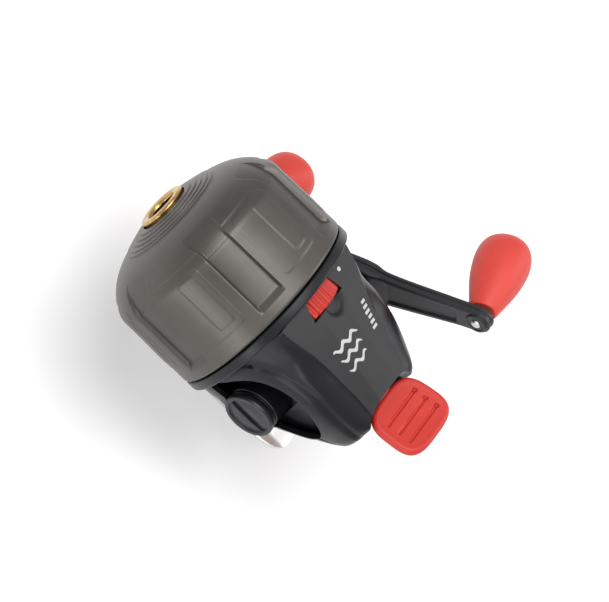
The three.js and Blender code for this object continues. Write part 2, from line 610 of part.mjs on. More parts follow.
// -------------------------------------------------------- shaft, head and pin
put('center_shaft', rod('x', SHAFT_R, -25.95, 49.8, 24), 'steel');
put('thrust_collar', lathe([[-27.6, 0], [-27.6, 2.2], [-27.2, 2.7], [-24.9, 2.7], [-24.9, 1.9],
  [-26.3, 1.9], [-26.3, 0]], 24), 'steel');
put('shaft_return_spring', tube('x', 2.75, 2, -24.6, -2, 20), 'steel');

const PICKUP_AT = [42, 0, 0];
function spinnerHead() {
  const head = lathe([[29, 25.2], [29, 26.6], [29.4, 27], [40, 27], [43, 25.8], [46.5, 22],
    [48.3, 17], [48.3, 9], [47.6, 8.2], [47.6, 1.9], [40.2, 1.9], [40.2, 5.6], [44.8, 6.6],
    [45.6, 16], [44.2, 20.6], [41.6, 23.8], [39.4, 25.2]], 48);
  return cut(head, rod('z', 1.5, 15, 30, 16).translate(PICKUP_AT));
}
put('spinner_head', spinnerHead(), 'alloy');
put('brake_ring', tube('x', 16.2, 12.4, 48.6, 49.3, 40), 'rubber');
put('head_nut', cut(plateYZ(polygon(3.6, 6), 47.9, 50.4), rod('x', 1.9, 47, 50.1, 20)), 'brass');
put('pickup_pin', lathe([[19, 0], [19, 1.9], [20, 1.9], [20, 1.15], [29.2, 1.15], [29.8, 0.7],
  [29.8, 0]], 20, 'z').translate(PICKUP_AT), 'steel');

// ------------------------------------------------------------ thumb button
// [x, z] side outlines
const NECK_SIDE = [[-25, 11.6], [-30, 11.2], [-34, 10.7], [-42, 11.4], [-42, 9.9],
  [-36, 7.7], [-31.5, 6.7], [-28.6, 6.0]];
const FINGER_SIDE = [[-25.6, 7.2], [-27.8, 6.6], [-30.6, 2], [-31.1, -0.6], [-30.4, -1.8],
  [-29.1, -1.6], [-28.5, 0], [-28.7, 1.8], [-28.4, 3.6]];
const WEB_SIDE = [[-24.6, 6.8], [-28, 6.6], [-29.4, 4.2], [-27.8, 3.2], [-25.8, 5.8]];

// drawn flat about its top centre, then tilted
function thumbPad() {
  let pad = union(
    plateXY(padOutline(PAD_L / 2, PAD_W / 2, 36), -PAD_T + 0.6, -0.6),
    plateXY(padOutline(PAD_L / 2 - 0.5, PAD_W / 2 - 0.5, 36), -PAD_T, 0));
  for (const x of [-4.6, -0.4, 3.8]) {             // grooves across the top
    pad = cut(pad, block(x - 0.6, x + 0.6, -7.4, 7.4, -0.7, 1));
  }
  return pad.rotate([0, PAD_TILT, 0]).translate([PAD_X, 0, PAD_Z]);
}
function thumbButton() {
  const button = union(
    thumbPad(),
    plateXZ(NECK_SIDE, -4, 4),
    rod('y', 3.1, -8, 8, 24).translate(BUTTON_PIN),
    plateXZ(FINGER_SIDE, -2.2, 2.2),
    plateXZ(WEB_SIDE, -3, 3));
  return cut(button, rod('y', BUTTON_HOLE_R, -12, 12, 20).translate(BUTTON_PIN));
}
put('thumb_button', thumbButton(), 'red_plastic');

// --------------------------------------- crank handle, about the crank axis
put('handle_shaft', union(
  plateXZ(polygon(2.65, 6), -34, 20.5),
  rod('y', 2, 20, 25.9, 20),
  lathe([[-33.4, 0], [-33.4, 5.6], [-32.8, 6.2], [-26.6, 6.2], [-26.0, 5.6], [-26.0, 0]],
    28, 'y')), 'dark_steel', crankGroup);
put('side_cap', cut(
  lathe([[25.7, 0], [25.7, 8.2], [26.2, 8.75], [27.5, 8.75], [28, 8.3], [28, 0]], 40, 'y'),
  block(-7.4, 7.4, 27, 29, -1.3, 1.3),
  rod('y', 2.3, 25, 26.3, 20)), 'dark_steel', crankGroup);

// the arm and knobs are drawn in the arm group; end is 1 for knob a, -1 for b
// moves a piece drawn about the Y axis to an arm end, leaning in
const lean = (body, end) => body
  .translate([0, -LEAN_Y, 0])
  .rotate([0, 0, -end * KNOB_LEAN])
  .translate([end * ARM_R, LEAN_Y, 0]);

function handleArm() {
  // [distance from the crank axis, half width] from the middle to the end
  const half = [[0, 8], [6, 7.6], [16, 6.2], [30, 5.2], [42, 4.6], [ARM_R, 4.6], [49.6, 3.2],
    [51.1, 0]];
  const outline = [
    ...half,
    ...half.slice(0, -1).reverse().map(([x, z]) => [x, -z]),
    ...half.slice(1).map(([x, z]) => [-x, -z]),
    ...half.slice(1, -1).reverse().map(([x, z]) => [-x, z]),
  ];
  // [x, y] outline seen edge on, cranked outward at both ends
  const edge = [[-52, -38.2], [-12, -36.4], [-8.5, -34.0], [8.5, -34.0], [12, -36.4],
    [52, -38.2], [52, -41.6], [10, -40.2], [-10, -40.2], [-52, -41.6]];
  let arm = plateXZ(outline, -45, -30).intersect(plateXY(edge, -12, 12));
  arm = cut(arm, rod('y', 2.95, -36.4, -33, 24));
  for (const end of [-1, 1]) {
    arm = cut(arm, lean(rod('y', KNOB_BORE_R, -48, -32, 20), end));
  }
  return arm;
}
put('handle_arm', handleArm(), 'dark_steel', armGroup);
put('handle_rivet', lathe([[-42.4, 0], [-42.4, 2.6], [-41.8, 3.6], [-40.5, 3.9], [-40.5, 0]],
  24, 'y'), 'steel', armGroup);

// [share of the knob's length from the arm, share of its full width]
const KNOB_PROFILE = [[0, 0.46], [0.06, 0.56], [0.2, 0.7], [0.38, 0.87], [0.55, 0.98],
  [0.7, 1], [0.83, 0.94], [0.92, 0.79], [0.975, 0.56], [1, 0.24]];
function knob() {
  const rings = KNOB_PROFILE.map(([along, width]) => {
    // round at the arm, slightly flattened from a third of the length on
    const flat = 0.93 + 0.07 * (1 - Math.min(1, along * 3));
    return polygon(KNOB_W / 2 * width, 20)
      .map(([x, z]) => [x, KNOB_ROOT_Y - along * KNOB_LEN, z * flat]);
  });
  return cut(skin(rings), rod('y', KNOB_BORE_R, -67, -40, 20));
}
for (const [place, end] of [['a', 1], ['b', -1]]) {
  const spindle = lathe([[-36.3, 0], [-36.3, 2.2], [-36.6, 2.8], [-37.1, 2.8], [-37.1, 1.6],
    [-66, 1.6], [-66, 0]], 20, 'y');
  put(`knob_spindle_${place}`, lean(spindle, end), 'steel', armGroup);
  put(`knob_${place}`, lean(knob(), end), 'red_soft', armGroup);
}

// --------------------------------- pawl spring, a wire about the spool axis
function pawlSpring() {
  const path = [[8.2, 7.3, -20.5], [6.6, 7.3, -17.2], [4.2, 7.3, -16.6]];
  return solid(new THREE.ExtrudeGeometry(shapeOf(polygon(0.3, 8)), {
    steps: 8,
    extrudePath: new THREE.CatmullRomCurve3(path.map((point) => new THREE.Vector3(...point))),
    bevelEnabled: false,
  }));
}
put('pawl_spring', pawlSpring(), 'steel');

export default group;
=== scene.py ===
import json
import math

import bmesh
import bpy
import numpy as np
from mathutils import Matrix, Vector


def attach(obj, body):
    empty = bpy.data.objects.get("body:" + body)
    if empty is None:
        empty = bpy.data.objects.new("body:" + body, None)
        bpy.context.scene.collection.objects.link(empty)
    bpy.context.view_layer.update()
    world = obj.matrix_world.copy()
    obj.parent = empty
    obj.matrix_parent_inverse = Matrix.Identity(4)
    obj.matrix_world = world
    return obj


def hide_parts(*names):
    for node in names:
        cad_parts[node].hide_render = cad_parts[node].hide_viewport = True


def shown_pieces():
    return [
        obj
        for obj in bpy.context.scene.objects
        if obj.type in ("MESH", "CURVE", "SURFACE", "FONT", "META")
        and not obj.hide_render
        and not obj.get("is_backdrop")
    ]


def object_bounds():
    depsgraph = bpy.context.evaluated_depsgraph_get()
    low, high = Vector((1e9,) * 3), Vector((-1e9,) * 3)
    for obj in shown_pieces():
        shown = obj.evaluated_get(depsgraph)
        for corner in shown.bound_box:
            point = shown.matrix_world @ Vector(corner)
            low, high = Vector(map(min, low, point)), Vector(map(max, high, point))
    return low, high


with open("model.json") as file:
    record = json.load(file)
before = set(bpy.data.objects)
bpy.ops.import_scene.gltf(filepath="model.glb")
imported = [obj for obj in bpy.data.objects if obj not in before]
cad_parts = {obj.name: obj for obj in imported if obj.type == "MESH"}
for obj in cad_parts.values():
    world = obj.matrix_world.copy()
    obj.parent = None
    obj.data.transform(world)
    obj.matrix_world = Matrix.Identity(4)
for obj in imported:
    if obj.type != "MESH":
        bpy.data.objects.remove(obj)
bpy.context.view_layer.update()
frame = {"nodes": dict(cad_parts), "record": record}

MM = 0.001
AXIS = 50.0                       # spool axis height, mm
CRANK = (-6.5, AXIS - 11.0)       # crank axis x, z
rng = np.random.default_rng(7)
TAU = 2 * math.pi


# ------------------------------------------------------------------ materials
def nodes_of(m):
    m.use_nodes = True
    nt = m.node_tree
    return nt, nt.nodes["Principled BSDF"]


def ramp(nt, src, stops):
    r = nt.nodes.new("ShaderNodeValToRGB")
    el = r.color_ramp.elements
    while len(el) < len(stops):
        el.new(0.5)
    for e, (p, c) in zip(el, stops):
        e.position = p
        e.color = (*c, 1) if len(c) == 3 else c
    nt.links.new(src, r.inputs[0])
    return r.outputs[0]


def noise(nt, vec, scale, detail=4, rough=0.6, dist=0.0):
    n = nt.nodes.new("ShaderNodeTexNoise")
    n.inputs["Scale"].default_value = scale
    n.inputs["Detail"].default_value = detail
    n.inputs["Roughness"].default_value = rough
    n.inputs["Distortion"].default_value = dist
    nt.links.new(vec, n.inputs["Vector"])
    return n.outputs["Fac"]


def coords(nt, scale=(1, 1, 1)):
    tc = nt.nodes.new("ShaderNodeTexCoord")
    mp = nt.nodes.new("ShaderNodeMapping")
    mp.inputs["Scale"].default_value = scale
    nt.links.new(tc.outputs["Object"], mp.inputs["Vector"])
    return mp.outputs[0]


def math_node(nt, op, a, b=None, c=None):
    n = nt.nodes.new("ShaderNodeMath")
    n.operation = op
    for i, v in enumerate((a, b, c)):
        if v is None:
            continue
        if isinstance(v, (int, float)):
            n.inputs[i].default_value = v
        else:
            nt.links.new(v, n.inputs[i])
    return n.outputs[0]


def mix(nt, fac, a, b, mode="MIX"):
    n = nt.nodes.new("ShaderNodeMix")
    n.data_type = "RGBA"
    n.blend_type = mode
    for sock, v in ((n.inputs[0], fac), (n.inputs[6], a), (n.inputs[7], b)):
        if isinstance(v, (int, float)):
            sock.default_value = v
        elif isinstance(v, tuple):
            sock.default_value = (*v, 1)
        else:
            nt.links.new(v, sock)
    return n.outputs[2]


def edge_mask(nt, lo=0.52, hi=0.6):
    g = nt.nodes.new("ShaderNodeNewGeometry")
    mr = nt.nodes.new("ShaderNodeMapRange")
    mr.inputs["From Min"].default_value = lo
    mr.inputs["From Max"].default_value = hi
    nt.links.new(g.outputs["Pointiness"], mr.inputs["Value"])
    return mr.outputs[0]


def bump(nt, height, strength, dist, normal=None):
    b = nt.nodes.new("ShaderNodeBump")
    b.inputs["Strength"].default_value = strength
    b.inputs["Distance"].default_value = dist
    nt.links.new(height, b.inputs["Height"])
    if normal is not None:
        nt.links.new(normal, b.inputs["Normal"])
    return b.outputs[0]


def plastic(name, col, col2, rough, grain=5200, bump_s=0.18, worn=(0.2, 0.2, 0.2), wear=0.25, spec=0.5, coat=0.0):
    """Moulded plastic: eroded mould grain, cloudy gloss, lightly rubbed edges."""
    m = bpy.data.materials.new(name)
    nt, p = nodes_of(m)
    v = coords(nt)
    cloud = noise(nt, v, 38, 3, 0.55)
    base = mix(nt, ramp(nt, cloud, [(0.35, (0, 0, 0)), (0.68, (1, 1, 1))]), col, col2)
    scr = noise(nt, coords(nt, (30, 900, 420)), 1.0, 6, 0.7, 0.4)
    scrm = ramp(nt, scr, [(0.66, (0, 0, 0)), (0.74, (1, 1, 1))])
    e = edge_mask(nt)
    em = math_node(nt, "MULTIPLY", e, math_node(nt, "MULTIPLY", noise(nt, v, 260, 3), wear * 2))
    base = mix(nt, em, base, worn)
    nt.links.new(base, p.inputs["Base Color"])
    r0 = math_node(nt, "MULTIPLY_ADD", cloud, 0.16, rough - 0.08)
    r1 = math_node(nt, "MULTIPLY_ADD", scrm, 0.06, r0)
    nt.links.new(r1, p.inputs["Roughness"])
    g = noise(nt, v, grain, 2, 0.5)
    nt.links.new(bump(nt, g, bump_s, 0.00005), p.inputs["Normal"])
    p.inputs["Specular IOR Level"].default_value = spec
    if coat:
        p.inputs["Coat Weight"].default_value = coat
        p.inputs["Coat Roughness"].default_value = 0.25
    return m


def soft_touch(name, col, col2):
    m = bpy.data.materials.new(name)
    nt, p = nodes_of(m)
    v = coords(nt)
    cloud = noise(nt, v, 55, 4, 0.6)
    base = mix(nt, cloud, col, col2)
    grime = ramp(nt, noise(nt, v, 420, 5, 0.7), [(0.6, (0, 0, 0)), (0.8, (1, 1, 1))])
    base = mix(nt, math_node(nt, "MULTIPLY", grime, 0.14), base, (col[0] * 0.55, col[1] * 0.6, col[2] * 0.6))
    nt.links.new(base, p.inputs["Base Color"])
    nt.links.new(math_node(nt, "MULTIPLY_ADD", cloud, 0.14, 0.46), p.inputs["Roughness"])
    nt.links.new(bump(nt, noise(nt, v, 3600, 2), 0.22, 0.00006), p.inputs["Normal"])
    p.inputs["Sheen Weight"].default_value = 0.08
    p.inputs["Sheen Roughness"].default_value = 0.4
    p.inputs["Subsurface Weight"].default_value = 0.05
    p.inputs["Subsurface Radius"].default_value = (0.002, 0.0008, 0.0005)
    return m


def metal(name, col, col2, rough, metallic=1.0, brush=(1, 1, 1), brush_scale=900, bump_s=0.12, wear=0.3, worn=(0.75, 0.74, 0.72), flake=0.0):
    """Metal with brushing along one axis, uneven polish and brighter edges."""
    m = bpy.data.materials.new(name)
    nt, p = nodes_of(m)
    v = coords(nt)
    cloud = noise(nt, v, 42, 4, 0.6)
    base = mix(nt, ramp(nt, cloud, [(0.3, (0, 0, 0)), (0.7, (1, 1, 1))]), col, col2)
    if flake:
        f = nt.nodes.new("ShaderNodeTexVoronoi")
        f.inputs["Scale"].default_value = 5200
        nt.links.new(v, f.inputs["Vector"])
        fc = ramp(nt, f.outputs["Distance"], [(0.05, (1, 1, 1)), (0.3, (0, 0, 0))])
        base = mix(nt, math_node(nt, "MULTIPLY", fc, flake), base, tuple(min(1, c * 1.9) for c in col2))
    e = edge_mask(nt, 0.515, 0.6)
    em = math_node(nt, "MULTIPLY", e, math_node(nt, "MULTIPLY", noise(nt, v, 300, 3), wear * 2))
    base = mix(nt, em, base, worn)
    nt.links.new(base, p.inputs["Base Color"])
    p.inputs["Metallic"].default_value = metallic
    b = noise(nt, coords(nt, brush), brush_scale, 3, 0.6)
    r = math_node(nt, "MULTIPLY_ADD", b, 0.14, math_node(nt, "MULTIPLY_ADD", cloud, 0.12, rough - 0.13))
    nt.links.new(r, p.inputs["Roughness"])
    nt.links.new(bump(nt, b, bump_s, 0.00004), p.inputs["Normal"])
    return m


M = {}
M["cover"] = metal("mat_cover_metal", (0.080, 0.074, 0.067), (0.100, 0.092, 0.084), 0.42, metallic=0.78, brush=(0.12, 1, 1), brush_scale=1500,
                   bump_s=0.06, wear=0.10, worn=(0.22, 0.21, 0.2), flake=0.25)
M["body"] = plastic("mat_body_black", (0.0046, 0.0048, 0.0064), (0.0068, 0.0072, 0.0096), 0.34, worn=(0.03, 0.031, 0.035), wear=0.08, spec=0.28)
M["deck"] = plastic("mat_deck_black", (0.018, 0.018, 0.0195), (0.025, 0.025, 0.027), 0.52, grain=3300, bump_s=0.5, worn=(0.06, 0.06, 0.06), wear=0.08, spec=0.3)
M["case"] = plastic("mat_case_black", (0.02, 0.0205, 0.023), (0.03, 0.031, 0.035), 0.48, grain=3600, bump_s=0.35, worn=(0.1, 0.1, 0.11), wear=0.15)
M["red"] = plastic("mat_red_plastic", (0.42, 0.021, 0.013), (0.48, 0.028, 0.018), 0.45, grain=3000, bump_s=0.2, worn=(0.66, 0.08, 0.06), wear=0.15, spec=0.35)
M["grip"] = soft_touch("mat_grip_red", (0.50, 0.030, 0.019), (0.56, 0.040, 0.026))
M["handle"] = metal("mat_handle_black", (0.013, 0.013, 0.0155), (0.02, 0.02, 0.024), 0.4, metallic=0.3, brush=(1, 1, 1), brush_scale=2600, bump_s=0.15,
                    wear=0.08, worn=(0.11, 0.11, 0.12))
M["brass"] = metal("mat_brass", (0.44, 0.27, 0.105), (0.54, 0.345, 0.14), 0.26, brush=(6, 0.3, 0.3), brush_scale=700, wear=0.3, worn=(0.95, 0.74, 0.42))
M["steel"] = metal("mat_steel", (0.50, 0.50, 0.50), (0.62, 0.62, 0.61), 0.3, brush=(0.15, 1, 1), brush_scale=1600, wear=0.3, worn=(0.85, 0.85, 0.85))
M["alloy"] = metal("mat_alloy", (0.52, 0.53, 0.54), (0.62, 0.62, 0.63), 0.34, brush=(3, 0.4, 0.4), brush_scale=800, wear=0.25, worn=(0.85, 0.85, 0.86))
M["rubber"] = plastic("mat_rubber", (0.012, 0.012, 0.012), (0.02, 0.02, 0.02), 0.75, grain=2600, bump_s=0.5, wear=0.1)
M["paint"] = plastic("mat_white_mark", (0.42, 0.42, 0.43), (0.52, 0.52, 0.52), 0.55, grain=4200, bump_s=0.3, worn=(0.4, 0.4, 0.4), wear=0.2)


def felt_mat():
    m = bpy.data.materials.new("mat_felt")
    nt, p = nodes_of(m)
    v = coords(nt)
    f = noise(nt, v, 1800, 8, 0.75, 1.5)
    nt.links.new(mix(nt, f, (0.16, 0.13, 0.09), (0.38, 0.33, 0.25)), p.inputs["Base Color"])
    p.inputs["Roughness"].default_value = 0.95
    p.inputs["Sheen Weight"].default_value = 0.5
    nt.links.new(bump(nt, f, 0.9, 0.0003), p.inputs["Normal"])
    return m


def line_mat():
    """Wound monofilament: fine turns round the spool axis with slow colour drift."""
    m = bpy.data.materials.new("mat_wound_line")
    nt, p = nodes_of(m)
    v = coords(nt)
    w = nt.nodes.new("ShaderNodeTexWave")
    w.wave_type = "BANDS"
    w.bands_direction = "X"
    w.inputs["Scale"].default_value = 1150
    w.inputs["Distortion"].default_value = 1.6
    w.inputs["Detail"].default_value = 2
    nt.links.new(v, w.inputs["Vector"])
    nt.links.new(mix(nt, noise(nt, v, 500, 3), (0.42, 0.55, 0.48), (0.66, 0.76, 0.7)), p.inputs["Base Color"])
    p.inputs["Roughness"].default_value = 0.22
    p.inputs["Coat Weight"].default_value = 0.3
    nt.links.new(bump(nt, w.outputs["Fac"], 0.9, 0.00025), p.inputs["Normal"])
    return m


M["felt"] = felt_mat()
M["line"] = line_mat()


# -------------------------------------------------------------- mesh helpers
def make(name, verts, faces, mat, body, slot=None, smooth=38, mats=None, mat_idx=None):
    me = bpy.data.meshes.new(name)
    me.from_pydata([tuple(v) for v in np.asarray(verts, float) * MM], [], [tuple(int(i) for i in f) for f in faces])
    me.update()
    bm = bmesh.new()
    bm.from_mesh(me)
    bmesh.ops.remove_doubles(bm, verts=bm.verts, dist=1e-7)
    bmesh.ops.dissolve_degenerate(bm, dist=1e-8, edges=bm.edges)
    bmesh.ops.recalc_face_normals(bm, faces=bm.faces)
    bm.to_mesh(me)
    bm.free()
    o = bpy.data.objects.new(name, me)
    bpy.context.scene.collection.objects.link(o)
    for mm in (mats or [mat]):
        me.materials.append(mm)
    if mat_idx is not None and len(mat_idx) == len(me.polygons):
        me.polygons.foreach_set("material_index", np.asarray(mat_idx, dtype=np.int32))
    shade(o, smooth)
    if body:
        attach(o, body)
    return o


def shade(o, angle=38):
    me = o.data
    me.polygons.foreach_set("use_smooth", np.ones(len(me.polygons), dtype=bool))
    me.set_sharp_from_angle(angle=math.radians(angle))
    me.update()


def bake(o, angle=38):
    """Applies the modifiers to the mesh."""
    dg = bpy.context.evaluated_depsgraph_get()
    ev = o.evaluated_get(dg)
    me = bpy.data.meshes.new_from_object(ev, preserve_all_data_layers=True, depsgraph=dg)
    old = o.data
    o.modifiers.clear()
    o.data = me
    me.name = old.name + "_b"
    bpy.data.meshes.remove(old)
    bm = bmesh.new()
    bm.from_mesh(me)
    bmesh.ops.remove_doubles(bm, verts=bm.verts, dist=2e-7)
    bmesh.ops.dissolve_degenerate(bm, dist=1e-7, edges=bm.edges)
    bm.to_mesh(me)
    bm.free()
    shade(o, angle)
    return o


def cutter(name, verts, faces):
    me = bpy.data.meshes.new(name)
    me.from_pydata([tuple(v) for v in np.asarray(verts, float) * MM], [], [tuple(int(i) for i in f) for f in faces])
    bm = bmesh.new()
    bm.from_mesh(me)
    bmesh.ops.remove_doubles(bm, verts=bm.verts, dist=1e-7)
    bmesh.ops.recalc_face_normals(bm, faces=bm.faces)
    bm.to_mesh(me)
    bm.free()
    o = bpy.data.objects.new(name, me)
    bpy.context.scene.collection.objects.link(o)
    return o


def boolean(o, cuts, op="DIFFERENCE", bevel=0.0, segs=2, angle=40):
    for c in cuts:
        b = o.modifiers.new("cut", "BOOLEAN")
        b.operation = op
        b.solver = "EXACT"
        b.object = c
    if bevel:
        bv = o.modifiers.new("bevel", "BEVEL")
        bv.width = bevel * MM
        bv.segments = segs
        bv.limit_method = "ANGLE"
        bv.angle_limit = math.radians(angle)
        bv.harden_normals = False
    bake(o)
    for c in cuts:
        me = c.data
        bpy.data.objects.remove(c)
        bpy.data.meshes.remove(me)
    return o


def fillet(pts, r, n=5, closed=True):
    """Rounds each corner of a polyline; r is one radius or one per point."""
    pts = [np.array(p, float) for p in pts]
    k = len(pts)
    rs = [r] * k if np.isscalar(r) else list(r)
    out = []
    for i in range(k):
        if (not closed and i in (0, k - 1)) or rs[i] <= 0:
            out.append(pts[i])
            continue
        a, b, c = pts[i - 1], pts[i], pts[(i + 1) % k]
        u, v = a - b, c - b
        lu, lv = np.linalg.norm(u), np.linalg.norm(v)
        if lu < 1e-9 or lv < 1e-9:
            out.append(b)
            continue
        u, v = u / lu, v / lv
        cosang = float(np.clip(u @ v, -1, 1))
        ang = math.acos(cosang)
        if ang > math.radians(176):
            out.append(b)
            continue
        t = min(rs[i] / math.tan(ang / 2), lu * 0.46, lv * 0.46)
        p0, p1 = b + u * t, b + v * t
        for j in range(n + 1):
            s = j / n
            out.append((1 - s) ** 2 * p0 + 2 * s * (1 - s) * b + s * s * p1)
    return [tuple(p) for p in out]


def densify(pts, step, closed=True):
    out = []
    k = len(pts)
    for i in range(k if closed else k - 1):
        a, b = np.array(pts[i], float), np.array(pts[(i + 1) % k], float)
        n = max(1, int(math.ceil(np.linalg.norm(b - a) / step)))
        for j in range(n):
            out.append(tuple(a + (b - a) * j / n))
    if not closed:
        out.append(tuple(pts[-1]))
    return out


AX = {"x": lambda a, p, q: (a, p, q), "y": lambda a, p, q: (p, a, q), "z": lambda a, p, q: (p, q, a)}


def revolve(profile, n=128, axis="x", center=(0, 0, 0), disp=None):
    """profile [(along, radius), ...]. Closed loop unless it starts and ends at radius 0."""
    prof = [tuple(p) for p in profile]
    solid = abs(prof[0][1]) < 1e-9 and abs(prof[-1][1]) < 1e-9
    verts, faces, rows = [], [], []
    for k, (a, r) in enumerate(prof):
        if r < 1e-9:
            rows.append([len(verts)] * n)
            verts.append(AX[axis](a, 0, 0))
            continue
        row = []
        for i in range(n):
            t = TAU * i / n
            rr = r + (disp(a, t, k) if disp else 0)
            row.append(len(verts))
            verts.append(AX[axis](a, rr * math.sin(t), rr * math.cos(t)))
        rows.append(row)
    cnt = len(rows) - 1 if solid else len(rows)
    for k in range(cnt):
        A, B = rows[k], rows[(k + 1) % len(rows)]
        for i in range(n):
            j = (i + 1) % n
            f = [A[i], A[j], B[j], B[i]]
            g = []
            for x in f:
                if x not in g:
                    g.append(x)
            if len(g) > 2:
                faces.append(g)
    v = np.array(verts, float) + np.array(center, float)
    return v, faces


def loft(rings, cap=True):
    n = len(rings[0])
    verts = [p for r in rings for p in r]
    faces = []
    for k in range(len(rings) - 1):
        for i in range(n):
            j = (i + 1) % n
            faces.append((k * n + i, k * n + j, (k + 1) * n + j, (k + 1) * n + i))
    if cap:
        for k in (0, len(rings) - 1):
            c = len(verts)
            verts.append(tuple(np.mean(np.array(rings[k], float), axis=0)))
            for i in range(n):
                faces.append((c, k * n + i, k * n + (i + 1) % n))
    return np.array(verts, float), faces


def prism(pts, axis, a, b):
    """outline in the plane square to axis, from a to b. x: (y, z); y: (x, z); z: (x, y)."""
    put = {"x": lambda p, t: (t, p[0], p[1]), "y": lambda p, t: (p[0], t, p[1]), "z": lambda p, t: (p[0], p[1], t)}[axis]
    n = len(pts)
    verts = [put(p, a) for p in pts] + [put(p, b) for p in pts]
    faces = [tuple(range(n)), tuple(range(n, 2 * n))] + [(i, (i + 1) % n, n + (i + 1) % n, n + i) for i in range(n)]
    return np.array(verts, float), faces


def pchip(xs, ys, q):
    """Monotone cubic through the points."""
    xs, ys, q = np.asarray(xs, float), np.asarray(ys, float), np.asarray(q, float)
    h = np.diff(xs)
    d = np.diff(ys) / h
    m = np.zeros_like(ys)
    m[0], m[-1] = d[0], d[-1]
    for i in range(1, len(ys) - 1):
        if d[i - 1] * d[i] > 0:
            w1, w2 = 2 * h[i] + h[i - 1], h[i] + 2 * h[i - 1]
            m[i] = (w1 + w2) / (w1 / d[i - 1] + w2 / d[i])
    i = np.clip(np.searchsorted(xs, q) - 1, 0, len(h) - 1)
    t = (q - xs[i]) / h[i]
    return ((2 * t ** 3 - 3 * t ** 2 + 1) * ys[i] + (t ** 3 - 2 * t ** 2 + t) * h[i] * m[i]
            + (-2 * t ** 3 + 3 * t ** 2) * ys[i + 1] + (t ** 3 - t ** 2) * h[i] * m[i + 1])


def catmull(pts, count):
    """count + 1 points evenly spaced along a smooth curve through pts."""
    p = np.array(pts, float)
    s = np.r_[0, np.cumsum(np.linalg.norm(np.diff(p, axis=0), axis=1) ** 0.5)]
    dense = []
    ext = np.vstack([2 * p[0] - p[1], p, 2 * p[-1] - p[-2]])
    es = np.r_[s[0] - (s[1] - s[0]), s, s[-1] + (s[-1] - s[-2])]
    for i in range(1, len(p)):
        p0, p1, p2, p3 = ext[i - 1], ext[i], ext[i + 1], ext[i + 2]
        t0, t1, t2, t3 = es[i - 1], es[i], es[i + 1], es[i + 2]
        for t in np.linspace(t1, t2, 24, endpoint=(i == len(p) - 1)):
            a1 = (t1 - t) / (t1 - t0) * p0 + (t - t0) / (t1 - t0) * p1
            a2 = (t2 - t) / (t2 - t1) * p1 + (t - t1) / (t2 - t1) * p2
            a3 = (t3 - t) / (t3 - t2) * p2 + (t - t2) / (t3 - t2) * p3
            b1 = (t2 - t) / (t2 - t0) * a1 + (t - t0) / (t2 - t0) * a2
            b2 = (t3 - t) / (t3 - t1) * a2 + (t - t1) / (t3 - t1) * a3
            dense.append((t2 - t) / (t2 - t1) * b1 + (t - t1) / (t2 - t1) * b2)
    dense = np.array(dense)
    L = np.r_[0, np.cumsum(np.linalg.norm(np.diff(dense, axis=0), axis=1))]
    q = np.linspace(0, L[-1], count + 1)
    return np.stack([np.interp(q, L, dense[:, k]) for k in range(dense.shape[1])], axis=1)


def sstep(a, b, x):
    t = np.clip((x - a) / (b - a), 0, 1)
    return t * t * (3 - 2 * t)


C = (0, 0, AXIS)
CK = (CRANK[0], 0, CRANK[1])

